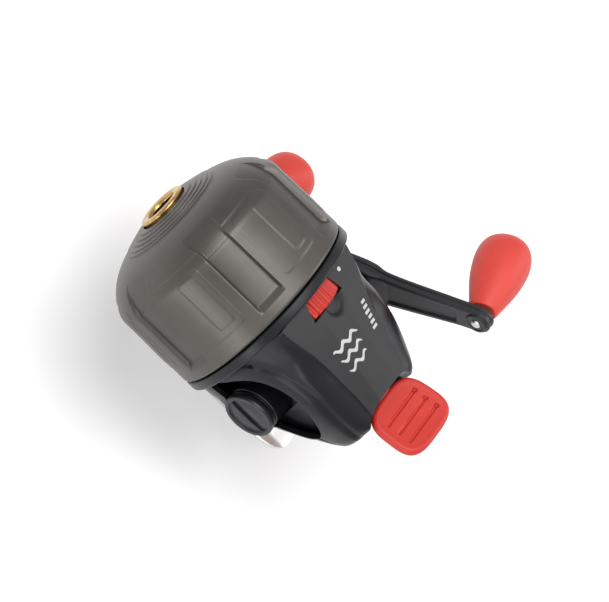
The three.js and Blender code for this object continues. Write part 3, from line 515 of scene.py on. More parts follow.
# ----------------------------------------------------------------- nose cover
def build_cover():
    prof = [(15.0, 34.15), (15.15, 34.6), (15.5, 34.92), (16.0, 35.0)]
    prof += [(x, 35.0) for x in np.arange(16.5, 43.2, 0.42)]
    key = [(43.2, 35.0), (44.4, 34.75), (45.9, 34.05), (47.4, 33.15), (49.2, 31.75), (51.0, 29.95), (52.6, 27.95), (54.0, 25.6), (55.2, 22.9), (56.0, 20.4), (56.25, 19.5)]
    prof += [tuple(p) for p in catmull(key, 58)[1:]]
    prof += [(56.35, 19.35), (56.7, 19.2), (56.8, 18.9), (56.85, 18.2), (56.95, 17.6), (57.3, 17.45), (57.4, 17.1), (57.45, 16.4), (57.55, 15.7), (57.9, 15.55), (58.0, 15.2),
             (58.05, 14.5), (58.15, 13.8), (58.5, 13.65), (58.6, 13.3), (58.7, 12.2), (58.75, 11.8), (59.05, 11.65), (59.15, 11.2), (59.2, 10.2), (59.3, 9.5), (59.2, 9.15)]
    nout = len(prof)
    prof += [(57.4, 9.15), (56, 12.5), (54.4, 17), (52.4, 22.9), (50.2, 27), (48.0, 29.6), (45, 31.7), (41.5, 32.4), (30, 32.4), (20, 32.4), (15.0, 32.4), (14.98, 33.4)]
    n = 720
    X = np.array([p[0] for p in prof])
    R = np.array([p[1] for p in prof])
    th = TAU * np.arange(n) / n
    xx, tt = np.meshgrid(X, th, indexing="ij")
    rr = np.repeat(R[:, None], n, axis=1)
    # degrees from the nearest panel centre, panels on every 60 degrees
    a = (np.degrees(tt) + 2.6 + 30) % 60 - 30
    # panels narrow a little as they run over the shoulder
    half = 21.0 - 3.0 * sstep(46, 52.5, xx)
    wall = sstep(half - 0.35, half + 0.75, np.abs(a))
    front = 1 - sstep(48.0, 52.6, xx)
    # floor of the valley: level along the barrel, then a facet rising to meet the shoulder
    deep = 1.75 * np.clip((xx - 19.0) / 2.6, 0, 1) * np.where(xx > 44.6, np.clip((52.8 - xx) / 8.2, 0, 1), 1.0)
    D = deep * wall
    # panel field: set in a hair behind the shoulder, with a crisp front edge that fades toward the rear
    field = (1 - sstep(47.7, 48.15, xx)) * (1 - wall)
    D += 0.24 * field * sstep(24.0, 40.0, xx)

    def step(lo, hi, xb, xf, rad, soft=0.22):
        """1 inside a rounded rectangle in (degrees, x), corners rounded by rad mm"""
        k = 35.0 * math.pi / 180
        cx, hx = (xb + xf) / 2, (xf - xb) / 2
        ca, ha = (lo + hi) / 2 * k, (hi - lo) / 2 * k
        qx = np.abs(xx - cx) - (hx - rad)
        qy = np.abs(a * k - ca) - (ha - rad)
        d = np.hypot(np.maximum(qx, 0), np.maximum(qy, 0)) + np.minimum(np.maximum(qx, qy), 0) - rad
        return 1 - sstep(-soft, soft, d)

    D -= 0.15 * step(-13.5, 15.4, 21.8, 46.6, 2.0, 0.2) + 0.17 * step(-9.6, 0.8, 24.4, 44.2, 1.2, 0.2)
    # fine crease where the barrel turns into the shoulder, between the panels' corners
    D += 0.08 * np.exp(-((xx - 44.7) / 0.28) ** 2) * wall
    mask = np.zeros_like(xx)
    mask[:nout] = 1
    nx = np.zeros(len(prof))
    nr = np.ones(len(prof))
    for i in range(1, nout - 1):
        tx, tr = X[i + 1] - X[i - 1], R[i + 1] - R[i - 1]
        l = math.hypot(tx, tr)
        nx[i], nr[i] = -tr / l, tx / l
    nx[X < 43] = 0
    nr[X < 43] = 1
    D = D * mask * (xx > 16.4)
    rr2 = rr - D * nr[:, None]
    xx2 = xx - D * nx[:, None]
    v = np.stack([xx2, rr2 * np.sin(tt), rr2 * np.cos(tt)], axis=-1).reshape(-1, 3) + np.array(C)
    m = len(prof)
    faces = []
    for k in range(m):
        k2 = (k + 1) % m
        for i in range(n):
            j = (i + 1) % n
            faces.append((k * n + i, k * n + j, k2 * n + j, k2 * n + i))
    o = make("nose_cover_shell", v, faces, M["cover"], "nose_cover", "cover_metal", smooth=50)
    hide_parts("front_cover")
    return o


build_cover()

ring = fillet([(55.4, 6.2), (59.6, 5.42), (60.7, 5.75), (61.0, 7.0), (60.9, 8.2), (60.3, 8.8), (59.75, 8.75), (59.5, 8.6), (55.4, 8.6)],
              [0.2, 0.6, 0.6, 0.5, 0.4, 0.3, 0.1, 0.1, 0.2], 5)
o = make("guide_ring_turned", *revolve(ring, 160, center=C), M["brass"], "nose_cover", "brass", 45)
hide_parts("line_guide_ring")

# ------------------------------------------------------------ flange and case
fl = fillet([(11.0, 24.0), (10.9, 34.0), (11.3, 35.0), (14.25, 35.0), (14.6, 34.5), (14.6, 31.3), (15.8, 31.2), (15.8, 30.6), (20.6, 30.6), (20.6, 29.0), (14.4, 29.0), (14.4, 24.0)],
            [0.1, 0.5, 0.7, 0.4, 0.3, 0.1, 0.2, 0.1, 0.2, 0.2, 0.2, 0.1], 5)
flange = make("frame_flange", *revolve(fl, 240, center=C), M["body"], "frame", "body_plastic", 40)
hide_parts("body_frame")


def case_side(sign):
    """side wall of the gear case seen through the window, with its raised panel and rib"""
    y0 = 13.4
    out = [(12.2, -25), (12.2, 14), (1, 14), (-16, 12), (-31, 10.4), (-31, -3), (-24, -9.6), (-16, -17.6), (-6, -22.6), (4, -24.6)]
    out = fillet([(x, z + AXIS) for x, z in out], 1.6, 4)
    ys = (12.2, 15.0)
    v, f = prism(densify(out, 3.0), "y", sign * ys[0], sign * ys[1])
    w = make("gear_case_wall_" + ("left" if sign > 0 else "right"), v, f, M["case"], None)
    pan = [(-12.6, 9.5), (-16.9, -17.0), (-24, -10.4), (-30.4, -3.4), (-31.0, 6.5), (-24, 10.2), (-16, 11.4)]
    pan = fillet([(x, z + AXIS) for x, z in pan], 1.2, 4)
    pv, pf = prism(pan, "y", sign * 14.0, sign * 17.0)
    # panel face leans in toward the rear
    pv[:, 1] = np.where(np.abs(pv[:, 1]) > 16, sign * (17.2 + 0.075 * (pv[:, 0] + 12.6)), pv[:, 1])
    c1 = cutter("c", pv, pf)
    rib, rf = prism([(-0.5, -4 + AXIS), (0.9, -4 + AXIS), (0.9, 12 + AXIS), (-0.5, 12 + AXIS)], "y", sign * 14.0, sign * 20.6)
    c2 = cutter("c", rib, rf)
    b = w.modifiers.new("u", "BOOLEAN"); b.operation = "UNION"; b.object = c1; b.solver = "EXACT"
    b = w.modifiers.new("u", "BOOLEAN"); b.operation = "UNION"; b.object = c2; b.solver = "EXACT"
    bake(w)
    for c in (c1, c2):
        bpy.data.objects.remove(c)
    hv, hf = revolve([(sign * 8, 0), (sign * 8, 6.5), (sign * 30, 6.5), (sign * 30, 0)], 64, "y", CK)
    boolean(w, [cutter("c", hv, hf)], bevel=0.4, segs=3, angle=50)
    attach(w, "frame")
    return w


case_side(1)
case_side(-1)

# front plate with the spool hub, floor of the case and the stem
plate = fillet([(12.0, 4.6), (12.0, 24.2), (14.4, 24.2), (14.4, 8.0), (15.4, 6.3), (37.0, 6.2), (37.0, 4.6)], [0.1, 0, 0, 0.8, 0.6, 0.3, 0.2], 4)
pl = make("frame_front_plate", *revolve(plate, 96, center=C), M["case"], "frame", "body_plastic", 40)


def stem():
    rings = []
    for z, x0, x1, hw in [(27.5, -12, 12, 4.6), (22, -13.2, 11.9, 4.6), (16, -13.4, 11.9, 4.5), (11, -12.0, 11.8, 4.3), (7, -11.3, 11.2, 4.3),
                          (4.6, -11.3, 11.1, 4.5), (3.2, -12.0, 11.8, 5.1), (2.55, -13.4, 13.2, 6.3)]:
        ring = []
        cx, hx = (x0 + x1) / 2, (x1 - x0) / 2
        for i in range(64):
            t = TAU * i / 64
            c, s = math.cos(t), math.sin(t)
            e = 0.42
            ring.append((cx + hx * math.copysign(abs(c) ** e, c), hw * math.copysign(abs(s) ** e, s), z))
        rings.append(ring)
    zs = [r[0][2] for r in rings]
    fine = []
    for z in np.r_[np.linspace(27.5, 5, 16), np.linspace(4.6, 2.55, 8)]:
        arr = []
        for i in range(64):
            px = pchip(zs[::-1], [r[i][0] for r in rings][::-1], [z])[0]
            py = pchip(zs[::-1], [r[i][1] for r in rings][::-1], [z])[0]
            arr.append((px, py, z))
        fine.append(arr)
    return loft(fine)


st = make("frame_stem", *stem(), M["body"], "frame", "body_plastic", 50)
flo = [(12.2, -24.9), (4, -24.5), (-6, -22.5), (-16, -17.5), (-24, -9.5), (-30.6, -4), (-30.6, -2.2), (-24, -7.7), (-16, -15.7), (-6, -20.6), (4, -22.6), (12.2, -23.1)]
fv, ff = prism([(x, z + AXIS) for x, z in flo], "y", -12.6, 12.6)
floor_case = make("gear_case_floor", fv, ff, M["case"], None)
gv, gf = revolve([(-8.4, 0), (-8.4, 19.0), (-2.6, 19.0), (-2.6, 0)], 96, "y", CK)
boolean(floor_case, [cutter("c", gv, gf)], bevel=0.3, segs=2)
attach(floor_case, "frame")


# ------------------------------------------------------------------ rear shell
STATIONS = [
    (10.6, [(0, 28.1), (20.2, 27.8), (22.6, 24.6), (24.0, 17), (24.9, 8), (26, 1), (26.6, -8), (25.8, -17), (22.6, -26), (12, -32.2), (0, -33.8)]),
    (5, [(0, 26.6), (19, 26.4), (21.6, 23.4), (22.9, 18), (23.4, 13), (25.4, 4.5), (26, -6), (25.2, -16), (22.3, -25.6), (12, -32.2), (0, -34)]),
    (-3, [(0, 24.1), (16, 23.9), (19.2, 22), (21, 20.2), (22.1, 18.1), (24.6, 10.5), (25.3, -4), (24.4, -15), (21.4, -24.6), (11.8, -32), (0, -34)]),
    (-8, [(0, 22.4), (14.6, 22.2), (18.4, 21), (20.3, 20), (21.5, 18.8), (24.1, 11.8), (24.8, -3), (23.8, -14), (20.6, -23.2), (11.4, -31.6), (0, -33.8)]),
    (-13.5, [(0, 20.6), (13.5, 20.4), (17.3, 19.8), (19.3, 19.2), (20.7, 18.4), (23.4, 12), (24.1, -2), (22.9, -11), (19.5, -20.8), (11, -30.4), (0, -33)]),
    (-18, [(0, 19.1), (12.7, 18.9), (16.3, 18.3), (18.3, 17.7), (20.1, 16.8), (22.7, 11.6), (23.3, -1), (22, -9), (18.4, -18.2), (10.4, -28.8), (0, -31.4)]),
    (-24.8, [(0, 16.9), (11.5, 16.7), (15.2, 16.1), (17.2, 15.5), (19, 14.4), (21.2, 9.6), (21.7, 0), (20.4, -6.5), (16.9, -13.2), (9.6, -21.6), (0, -24.4)]),
    (-30, [(0, 15.1), (10.8, 14.9), (14.3, 14.3), (16.3, 13.6), (17.8, 12.4), (19.4, 8), (19.8, 1.4), (18.6, -3.5), (15.6, -8.4), (8.9, -14.6), (0, -16.8)]),
    (-34, [(0, 13.8), (10.3, 13.6), (13.6, 13), (15.3, 12.2), (16.4, 10.8), (17.8, 7), (18.1, 2.4), (17, -1), (14.2, -4.4), (8.4, -8.6), (0, -10)]),
    (-35.6, [(0, 13.0), (9.7, 12.8), (12.6, 12.1), (14.1, 11.3), (15.3, 9.9), (16.4, 6.5), (16.7, 2.7), (15.6, -0.3), (13.1, -3.0), (8.0, -6.2), (0, -7.3)]),
    (-36.35, [(0, 12.0), (8.6, 11.8), (11.2, 11.1), (12.5, 10.3), (13.4, 9.0), (14.3, 6.2), (14.5, 3.1), (13.6, 0.8), (11.4, -1.3), (7.0, -3.6), (0, -4.4)]),
    (-36.6, [(0, 10.4), (6.6, 10.2), (8.8, 9.7), (9.9, 9.1), (10.6, 8.2), (11.3, 6.0), (11.5, 3.6), (10.8, 1.9), (9.0, 0.5), (5.6, -0.9), (0, -1.4)]),
]
WIN_TOP = [(9.0, -14.2), (8.6, -11.5), (7.4, -7), (5.6, -1), (2.5, 4.8), (-1.5, 8.7), (-6.5, 10.9), (-12, 11.1), (-17, 9.7), (-21.4, 7.3), (-24.8, 4.4), (-26.5, 1.9), (-27.0, 0.0)]
WIN_BOT = [(9.0, -14.8), (8.2, -15.5), (6, -15.7), (3.6, -15.8)]
BELLY = [(-15.9, -11.6), (-18.3, -10.6), (-22.8, -7.3), (-25.9, -3.9), (-26.8, -1.6), (-27.0, -0.4)]
TIP_X = -27.0


def window(x):
    """(top, bottom) of the side window at x, or the seam height twice outside it"""
    if x >= 9.0:
        return -14.5, -14.5
    if x <= TIP_X:
        t = -0.2 + (TIP_X - x) * 0.01
        return t, t
    t = catmull_y(WIN_TOP, x)
    dx = abs(x + 6.5)
    circ = -11 - math.sqrt(max(0.0, 9.7 ** 2 - dx ** 2)) if dx < 9.7 else -11.0
    if x > -6.5:
        b = catmull_y(WIN_BOT, x) if x > 3.6 else -15.8
    else:
        b = catmull_y(BELLY, x) if x < -15.9 else -11.0
    b = min(b, circ) if dx < 9.7 else b
    return max(t, b + 0.02), b


_curve = {}


def catmull_y(pts, x):
    key = id(pts)
    if key not in _curve:
        c = catmull(pts, 240)
        c = c[np.argsort(c[:, 0])]
        _curve[key] = c
    c = _curve[key]
    return float(np.interp(x, c[:, 0], c[:, 1]))


def section(x):
    xs = [s[0] for s in STATIONS][::-1]
    pts = []
    for k in range(11):
        ys = [s[1][k][0] for s in STATIONS][::-1]
        zs = [s[1][k][1] for s in STATIONS][::-1]
        pts.append((pchip(xs, ys, [x])[0], pchip(xs, zs, [x])[0]))
    return pts


NA, NB, NC1, NC2 = 34, 16, 20, 34


def half_column(x):
    p = section(x)
    A = []
    y1 = p[1][0]
    flat = 5.4
    lift = 1.0 * float(sstep(8.0, -2.0, np.array(x)))
    for i in range(NA + 1):
        # raised middle strip with sloping sides
        y = (flat * i / 10) if i <= 10 else flat + (y1 - flat) * (i - 10) / (NA - 10)
        s_ = y / y1
        z = p[0][1] + (p[1][1] - p[0][1]) * s_ ** 2 + lift * (1.0 if y <= flat else max(0.0, 1 - (y - flat) / (y1 - flat)))
        A.append((y, z))
    # the deck stands a little proud of the dark shoulder, with a crisp step
    B = [tuple(q) for q in catmull([p[1], p[2], p[3], p[4]], NB)]
    B = [(y, z - 0.55 * float(sstep(0.0, 0.07, i / NB))) for i, (y, z) in enumerate(B)]
    full = catmull([B[-1], p[5], p[6], p[7], p[8], p[9], p[10]], 200)
    zt, zb = window(x)
    # fender band: stands out from the shoulder, from a crisp root line down to the window edge
    root = B[-1][1] - (B[-1][1] - p[5][1]) * 0.36
    zz = full[:, 1]
    along = np.clip((root - zz) / 0.9, 0, 1)
    swell = 0.95 * along * np.clip(1 - (zb - 2.5 - zz) / 5.0, 0, 1) * float(sstep(10.5, 7.0, np.array(x)))
    full = full.copy()
    full[:, 0] += swell
    # the side wall runs on across the window, which is cut out later
    zt = zb = (zt + zb) / 2
    top = full[zz > zt]
    ct = np.array([np.interp(-zt, -zz, full[:, 0]), zt])
    up_ = np.vstack([top, ct])
    # keep a sample right at the root so that the crease stays crisp
    L = np.r_[0, np.cumsum(np.linalg.norm(np.diff(up_, axis=0), axis=1))]
    lr = float(np.interp(-root, -up_[:, 1], L)) if up_[-1, 1] < root else L[-1] * 0.5
    lr = min(max(lr, 0.15), L[-1] - 0.15) if L[-1] > 0.4 else L[-1] * 0.5
    n1 = 7
    q = np.r_[np.linspace(0, lr, n1 + 1), np.linspace(lr, L[-1], NC1 - n1 + 1)[1:]]
    C1 = np.stack([np.interp(q, L, up_[:, 0]), np.interp(q, L, up_[:, 1])], axis=1)
    cb = np.array([np.interp(-zb, -zz, full[:, 0]), zb])
    lo_ = np.vstack([cb, full[zz < zb]])
    L = np.r_[0, np.cumsum(np.linalg.norm(np.diff(lo_, axis=0), axis=1))]
    q = np.linspace(0, L[-1], NC2 + 1)
    C2 = np.stack([np.interp(q, L, lo_[:, 0]), np.interp(q, L, lo_[:, 1])], axis=1)
    return A, B, C1, C2


def rear_shell():
    xs = np.unique(np.round(np.r_[np.arange(10.6, 8.99, -0.4), np.linspace(9.0, 7.2, 10), np.arange(7.2, 3.2, -0.5), np.linspace(3.3, 1.6, 8),
                                  np.arange(1.6, -14.0, -0.6), np.linspace(-14.0, -16.2, 12), np.arange(-16.2, -24.6, -0.6), np.linspace(-24.6, -27.0, 13), np.arange(-27.4, -34.0, -0.6),
                                  np.linspace(-34.0, -35.6, 6), np.linspace(-35.6, -36.6, 7)], 4))[::-1]
    cols, seg = [], []
    for x in xs:
        A, B, C1, C2 = half_column(float(x))
        cols.append([list(A), list(B), [tuple(c) for c in C1], [tuple(c) for c in C2]])
    verts, faces, midx = [], [], []
    for sgn in (1, -1):
        for part in range(4):
            base = len(verts)
            n = len(cols[0][part])
            for ci, x in enumerate(xs):
                for (y, z) in cols[ci][part]:
                    dz = 0.0
                    if part == 0:
                        # thumb relief behind the dial
                        yy = sgn * y
                        d = math.hypot((x - 1.7) / 1.0, (yy + 2.3) / 1.1)
                        dz = -2.1 * (1 - float(sstep(2.1, 4.4, np.array(d))))
                    verts.append((x, sgn * y, z + dz + AXIS))
            for ci in range(len(xs) - 1):
                for i in range(n - 1):
                    a = base + ci * n + i
                    f = (a, a + 1, a + n + 1, a + n)
                    faces.append(f)
                    midx.append(1 if part == 0 else 0)
    # rear end
    last = len(xs) - 1
    ringp = []
    for part in range(4):
        for (y, z) in cols[last][part]:
            ringp.append((y, z))
    loop = [(xs[-1], y, z + AXIS) for y, z in ringp] + [(xs[-1], -y, z + AXIS) for y, z in ringp[::-1]]
    flat_end = [q for i, q in enumerate(loop) if math.dist(q, loop[i - 1]) > 1e-4]
    b = len(verts)
    verts += flat_end
    faces.append(tuple(range(b, b + len(flat_end))))
    midx.append(0)
    return verts, faces, midx


def rear_hull(name, scale=(1, 1, 1), centre=(0, 0, 0), front=0.0):
    """the rear cover's outer skin as one closed body, optionally drawn in towards a point and run out at the front"""
    v, f, midx = rear_shell()
    c = np.array(centre, float)
    v = (np.array(v, float) - c) * np.array(scale) + c
    if front:
        v[:, 0] += front * np.clip((v[:, 0] - 6.0) / 4.0, 0, 1)
    me = bpy.data.meshes.new(name)
    me.from_pydata([tuple(q) for q in v * MM], [], f)
    me.materials.append(M["body"])
    me.materials.append(M["deck"])
    me.polygons.foreach_set("material_index", np.array(midx, dtype=np.int32))
    bm = bmesh.new()
    bm.from_mesh(me)
    bmesh.ops.remove_doubles(bm, verts=bm.verts, dist=2e-5)
    bmesh.ops.dissolve_degenerate(bm, dist=1e-6, edges=bm.edges)
    bmesh.ops.holes_fill(bm, edges=[e for e in bm.edges if e.is_boundary], sides=0)
    bmesh.ops.recalc_face_normals(bm, faces=bm.faces)
    if bm.calc_volume(signed=True) < 0:
        bmesh.ops.reverse_faces(bm, faces=bm.faces)
    bm.to_mesh(me)
    bm.free()
    o = bpy.data.objects.new(name, me)
    bpy.context.scene.collection.objects.link(o)
    return o


def build_rear():
    o = rear_hull("rear_shell")
    cuts = [rear_hull("inner", (0.955, 0.935, 0.935), (5.0, 0.0, AXIS - 1.0), 8.0)]
    # side windows
    wx = np.r_[np.linspace(8.98, 8.0, 6), np.linspace(7.6, 2.4, 14), np.linspace(2.2, 1.4, 5), np.linspace(1.0, -14.4, 34), np.linspace(-14.8, -16.3, 8), np.linspace(-16.8, -24.8, 17), np.linspace(-25.2, -26.95, 10)]
    wt = [window(float(x)) for x in wx]
    dense = [(x, t[0]) for x, t in zip(wx, wt)] + [(x, t[1]) for x, t in zip(wx[::-1], wt[::-1])]
    for s_ in (1, -1):
        cuts.append(cutter("w%d" % s_, *prism([(a_, b_ + AXIS) for a_, b_ in dense], "y", s_ * 9.0, s_ * 36.0)))
    # pocket behind the deck for the thumb pad: its walls go in first, then the room inside them
    def pad_plan(grow, n=120):
        out = []
        for i in range(n):
            c_, d_ = math.cos(TAU * i / n), math.sin(TAU * i / n)
            out.append((-42.9 + (10.19 + 1.1 + grow) * math.copysign(abs(c_) ** (2 / 3.3), c_), (12.8 + 1.1 + grow) * math.copysign(abs(d_) ** (2 / 3.3), d_)))
        return out

    liner = cutter("pad_pocket_liner", *prism(pad_plan(1.6), "z", AXIS + 3.0, AXIS + 30))
    liner.data.materials.append(M["body"])
    # only what lies a little within the shell's own skin stays
    hull = rear_hull("hull", (0.98, 0.98, 0.98), (-18.0, 0.0, AXIS))
    boolean(liner, [hull], "INTERSECT")
    cuts.append(cutter("c0", *prism(pad_plan(0), "z", AXIS + 4.6, AXIS + 30)))
    cuts.append(cutter("c1", *revolve([(3.1, 0), (3.1, 12.35), (11.5, 12.35), (11.5, 0)], 128, center=(0, 0, AXIS + 17.2))))
    hole = fillet([(-5.3, -1.0 + AXIS), (5.3, -1.0 + AXIS), (5.3, 12.4 + AXIS), (-5.3, 12.4 + AXIS)], 1.6, 5)
    upper = fillet([(-5.3, 1.1 + AXIS), (5.3, 1.1 + AXIS), (5.3, 12.4 + AXIS), (-5.3, 12.4 + AXIS)], 1.2, 5)
    cuts.append(cutter("c2", *prism(upper, "x", -38.5, -28.4)))
    room = [cutter("l0", *prism(pad_plan(-0.05), "z", AXIS + 4.6, AXIS + 40)), cutter("l1", *prism(hole, "x", -38.5, -28.4))]
    boolean(liner, room, bevel=0.3, segs=2, angle=50)
    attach(liner, "frame")
    # parting groove from the back of each window to the rear end
    for s_ in (1, -1):
        gx = [(-26.6, 0.1), (-37.5, -0.2), (-37.5, -0.75), (-26.6, -0.75)]
        cuts.append(cutter("g%d" % s_, *prism([(a_, b_ + AXIS) for a_, b_ in gx], "y", s_ * 14.0, s_ * 24.0)))
    sl = fillet([(-16.2, -5.3), (13, -5.3), (13, 5.3), (-16.2, 5.3)], [5.0, 0, 0, 5.0], 8)
    cuts.append(cutter("c3", *prism(sl, "z", AXIS - 38, AXIS - 21)))
    boolean(o, cuts, bevel=0.32, segs=2, angle=48)
    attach(o, "frame")
    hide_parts("rear_cover")
    return o


rear = build_rear()

# --------------------------------------------------------------------- bosses
for side, s in (("left", 1), ("right", -1)):
    pr = fillet([(s * 14.2, 4.5), (s * 14.2, 6.2), (s * 15.2, 6.2), (s * 15.2, 9.3), (s * 16.6, 8.6), (s * 23.9, 8.5), (s * 24.1, 8.2), (s * 24.9, 8.1), (s * 25.3, 7.5), (s * 25.3, 4.5)],
                [0.1, 0.1, 0.2, 0.3, 0.6, 0.15, 0.15, 0.3, 0.3, 0.2], 4)
    b = make("crank_boss_" + side, *revolve(pr, 128, "y", CK), M["body"], "frame", "body_plastic", 40)
    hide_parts("crank_bushing_" + side)

# ------------------------------------------------------------------- side cap
cp = fillet([(25.7, 0), (25.7, 7.9), (26.0, 8.7), (27.2, 8.75), (27.9, 8.5), (28.0, 8.1), (27.95, 7.3), (27.35, 7.0), (27.4, 6.6), (27.65, 4), (27.75, 0)],
            [0, 0.3, 0.3, 0.4, 0.2, 0.25, 0.2, 0.15, 0.1, 0.3, 0], 4, closed=False)
cap = make("crank_side_cap", *revolve(cp, 128, "y", CK), M["handle"], None)
sl = fillet([(-6.9, -1.45), (6.9, -1.45), (6.9, 1.45), (-6.9, 1.45)], 0.5, 3)
sv, sf = prism([(a + CRANK[0], b + CRANK[1]) for a, b in sl], "y", 26.7, 30)
boolean(cap, [cutter("c", sv, sf)], bevel=0.22, segs=3, angle=40)
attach(cap, "crank")
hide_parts("side_cap")

# --------------------------------------------------------------- crank handle
TH = math.atan2(0.671, -0.741)
UX, UZ = math.cos(TH), math.sin(TH)


def arm_xf(pts):
    """(u along the arm, y, v across) to the row frame"""
    p = np.asarray(pts, float)
    u, y, v = p[:, 0], p[:, 1], p[:, 2]
    return np.stack([CRANK[0] + u * UX - v * UZ, y, CRANK[1] + u * UZ + v * UX], axis=1)


def arm_mid(u):
    a = np.abs(u)
    return -38.2 - 1.75 * sstep(10, 48, a)


def arm_half(u):
    a = np.abs(u)
    return pchip([0, 5, 9, 16, 24, 34, 42, 46.5, 60], [8.2, 8.0, 7.2, 6.2, 5.6, 5.0, 4.6, 4.6, 4.6], a)


def build_arm():
    us = np.unique(np.r_[np.linspace(-46.5, 46.5, 150)])
    out_top = [(u, arm_half(u)) for u in us]
    tip = [(46.5 + 4.6 * math.sin(t), 4.6 * math.cos(t)) for t in np.linspace(0.12, math.pi - 0.12, 16)]
    outline = [(u, float(h)) for u, h in out_top] + tip + [(u, -float(h)) for u, h in out_top[::-1]] + [(-a, -b) for a, b in tip]
    pts = np.array(outline)
    n = len(pts)
    thick = lambda u: 1.95 + 0.9 * (1 - sstep(8.2, 12.5, np.abs(u)))

    def ring(inset, side, frac):
        """outline moved in by inset mm, at side * frac of the half thickness"""
        c = pts.copy()
        nrm = np.zeros_like(c)
        d = np.roll(c, -1, 0) - np.roll(c, 1, 0)
        d /= np.linalg.norm(d, axis=1)[:, None] + 1e-12
        nrm[:, 0], nrm[:, 1] = d[:, 1], -d[:, 0]
        area = 0.5 * np.sum(c[:, 0] * np.roll(c[:, 1], -1) - np.roll(c[:, 0], -1) * c[:, 1])
        if area > 0:
            nrm = -nrm
        c = c + nrm * inset
        y = arm_mid(c[:, 0]) + side * frac * thick(c[:, 0])
        return np.stack([c[:, 0], y, c[:, 1]], axis=1)

    seq = [ring(0.75, 1, 1), ring(0.28, 1, 0.93), ring(0.0, 1, 0.72), ring(0.0, 1, 0.30), ring(0.32, 1, 0.16), ring(0.32, -1, 0.16), ring(0.0, -1, 0.30),
           ring(0.0, -1, 0.72), ring(0.28, -1, 0.93), ring(0.75, -1, 1)]
    verts = np.vstack(seq)
    faces = []
    for k in range(len(seq) - 1):
        for i in range(n):
            j = (i + 1) % n
            faces.append((k * n + i, k * n + j, (k + 1) * n + j, (k + 1) * n + i))
    # broad faces: strips across, with a shallow pocket along each half
    def face_grid(base, side):
        fv, ff = [], []
        m = len(us)
        cols = 15
        for i, u in enumerate(us):
            hw = float(arm_half(u)) - 0.75
            for j in range(cols):
                s = -1 + 2 * j / (cols - 1)
                v = hw * s
                a = abs(u)
                dep = 0.75 * float((1 - sstep(-0.3, 0.3, np.array(abs(v) - (hw - 1.15)))) * sstep(13.2, 14.0, np.array(a)) * (1 - sstep(38.4, 39.2, np.array(a))))
                y = float(arm_mid(u)) + side * (float(thick(u)) - dep)
                fv.append((u, y, v))
        for i in range(m - 1):
            for j in range(cols - 1):
                a = i * cols + j
                ff.append((a, a + 1, a + cols + 1, a + cols))
        # rounded ends
        for end in (0, m - 1):
            sg = -1 if end == 0 else 1
            u0 = us[end]
            prev = [end * cols + j for j in range(cols)]
            rr = float(arm_half(u0)) - 0.75
            cidx = len(fv)
            steps = 16
            arc = []
            for k in range(steps):
                t = 0.12 + (math.pi - 0.24) * k / (steps - 1)
                arc.append((u0 + sg * (4.6 - 0.75) * math.sin(t), (4.6 - 0.75) * math.cos(t)))
            arc = [(u0, rr)] + arc + [(u0, -rr)]
            fv.append((u0 + sg * 0.5, float(arm_mid(u0)) + side * float(thick(u0)), 0))
            ids = []
            for (a, b) in arc:
                ids.append(len(fv))
                fv.append((a, float(arm_mid(a)) + side * float(thick(a)), b))
            for k in range(len(ids) - 1):
                ff.append((cidx, ids[k], ids[k + 1]))
            for j in range(cols - 1):
                ff.append((cidx, prev[j], prev[j + 1]))
        off = base
        return fv, [tuple(off + q for q in t) for t in ff]

    allv = list(map(tuple, verts))
    allf = list(faces)
    for side in (1, -1):
        fv, ff = face_grid(len(allv), side)
        allv += fv
        allf += ff
    return arm_xf(allv), allf


av, af = build_arm()
me_arm = make("crank_arm", av, af, M["handle"], None, smooth=32)
wd = bmesh.new()
wd.from_mesh(me_arm.data)
bmesh.ops.remove_doubles(wd, verts=wd.verts, dist=3e-4)
bmesh.ops.holes_fill(wd, edges=[e for e in wd.edges if e.is_boundary], sides=0)
bmesh.ops.recalc_face_normals(wd, faces=wd.faces)
wd.to_mesh(me_arm.data)
wd.free()
shade(me_arm, 32)
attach(me_arm, "crank")
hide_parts("handle_arm")
LEAN = math.radians(12.5)


def lean(v, s):
    """from a frame whose Y is the knob's own axis (origin on the spindle) to an arm end, leaning in; x runs along the arm"""
    v = np.asarray(v, float)
    x, y, z = v[:, 0], v[:, 1] + 40.0, v[:, 2]
    al = -s * LEAN
    u = x * math.cos(al) - y * math.sin(al) + s * 46.5
    yy = x * math.sin(al) + y * math.cos(al) - 40.0
    return arm_xf(np.stack([u, yy, z], axis=1))


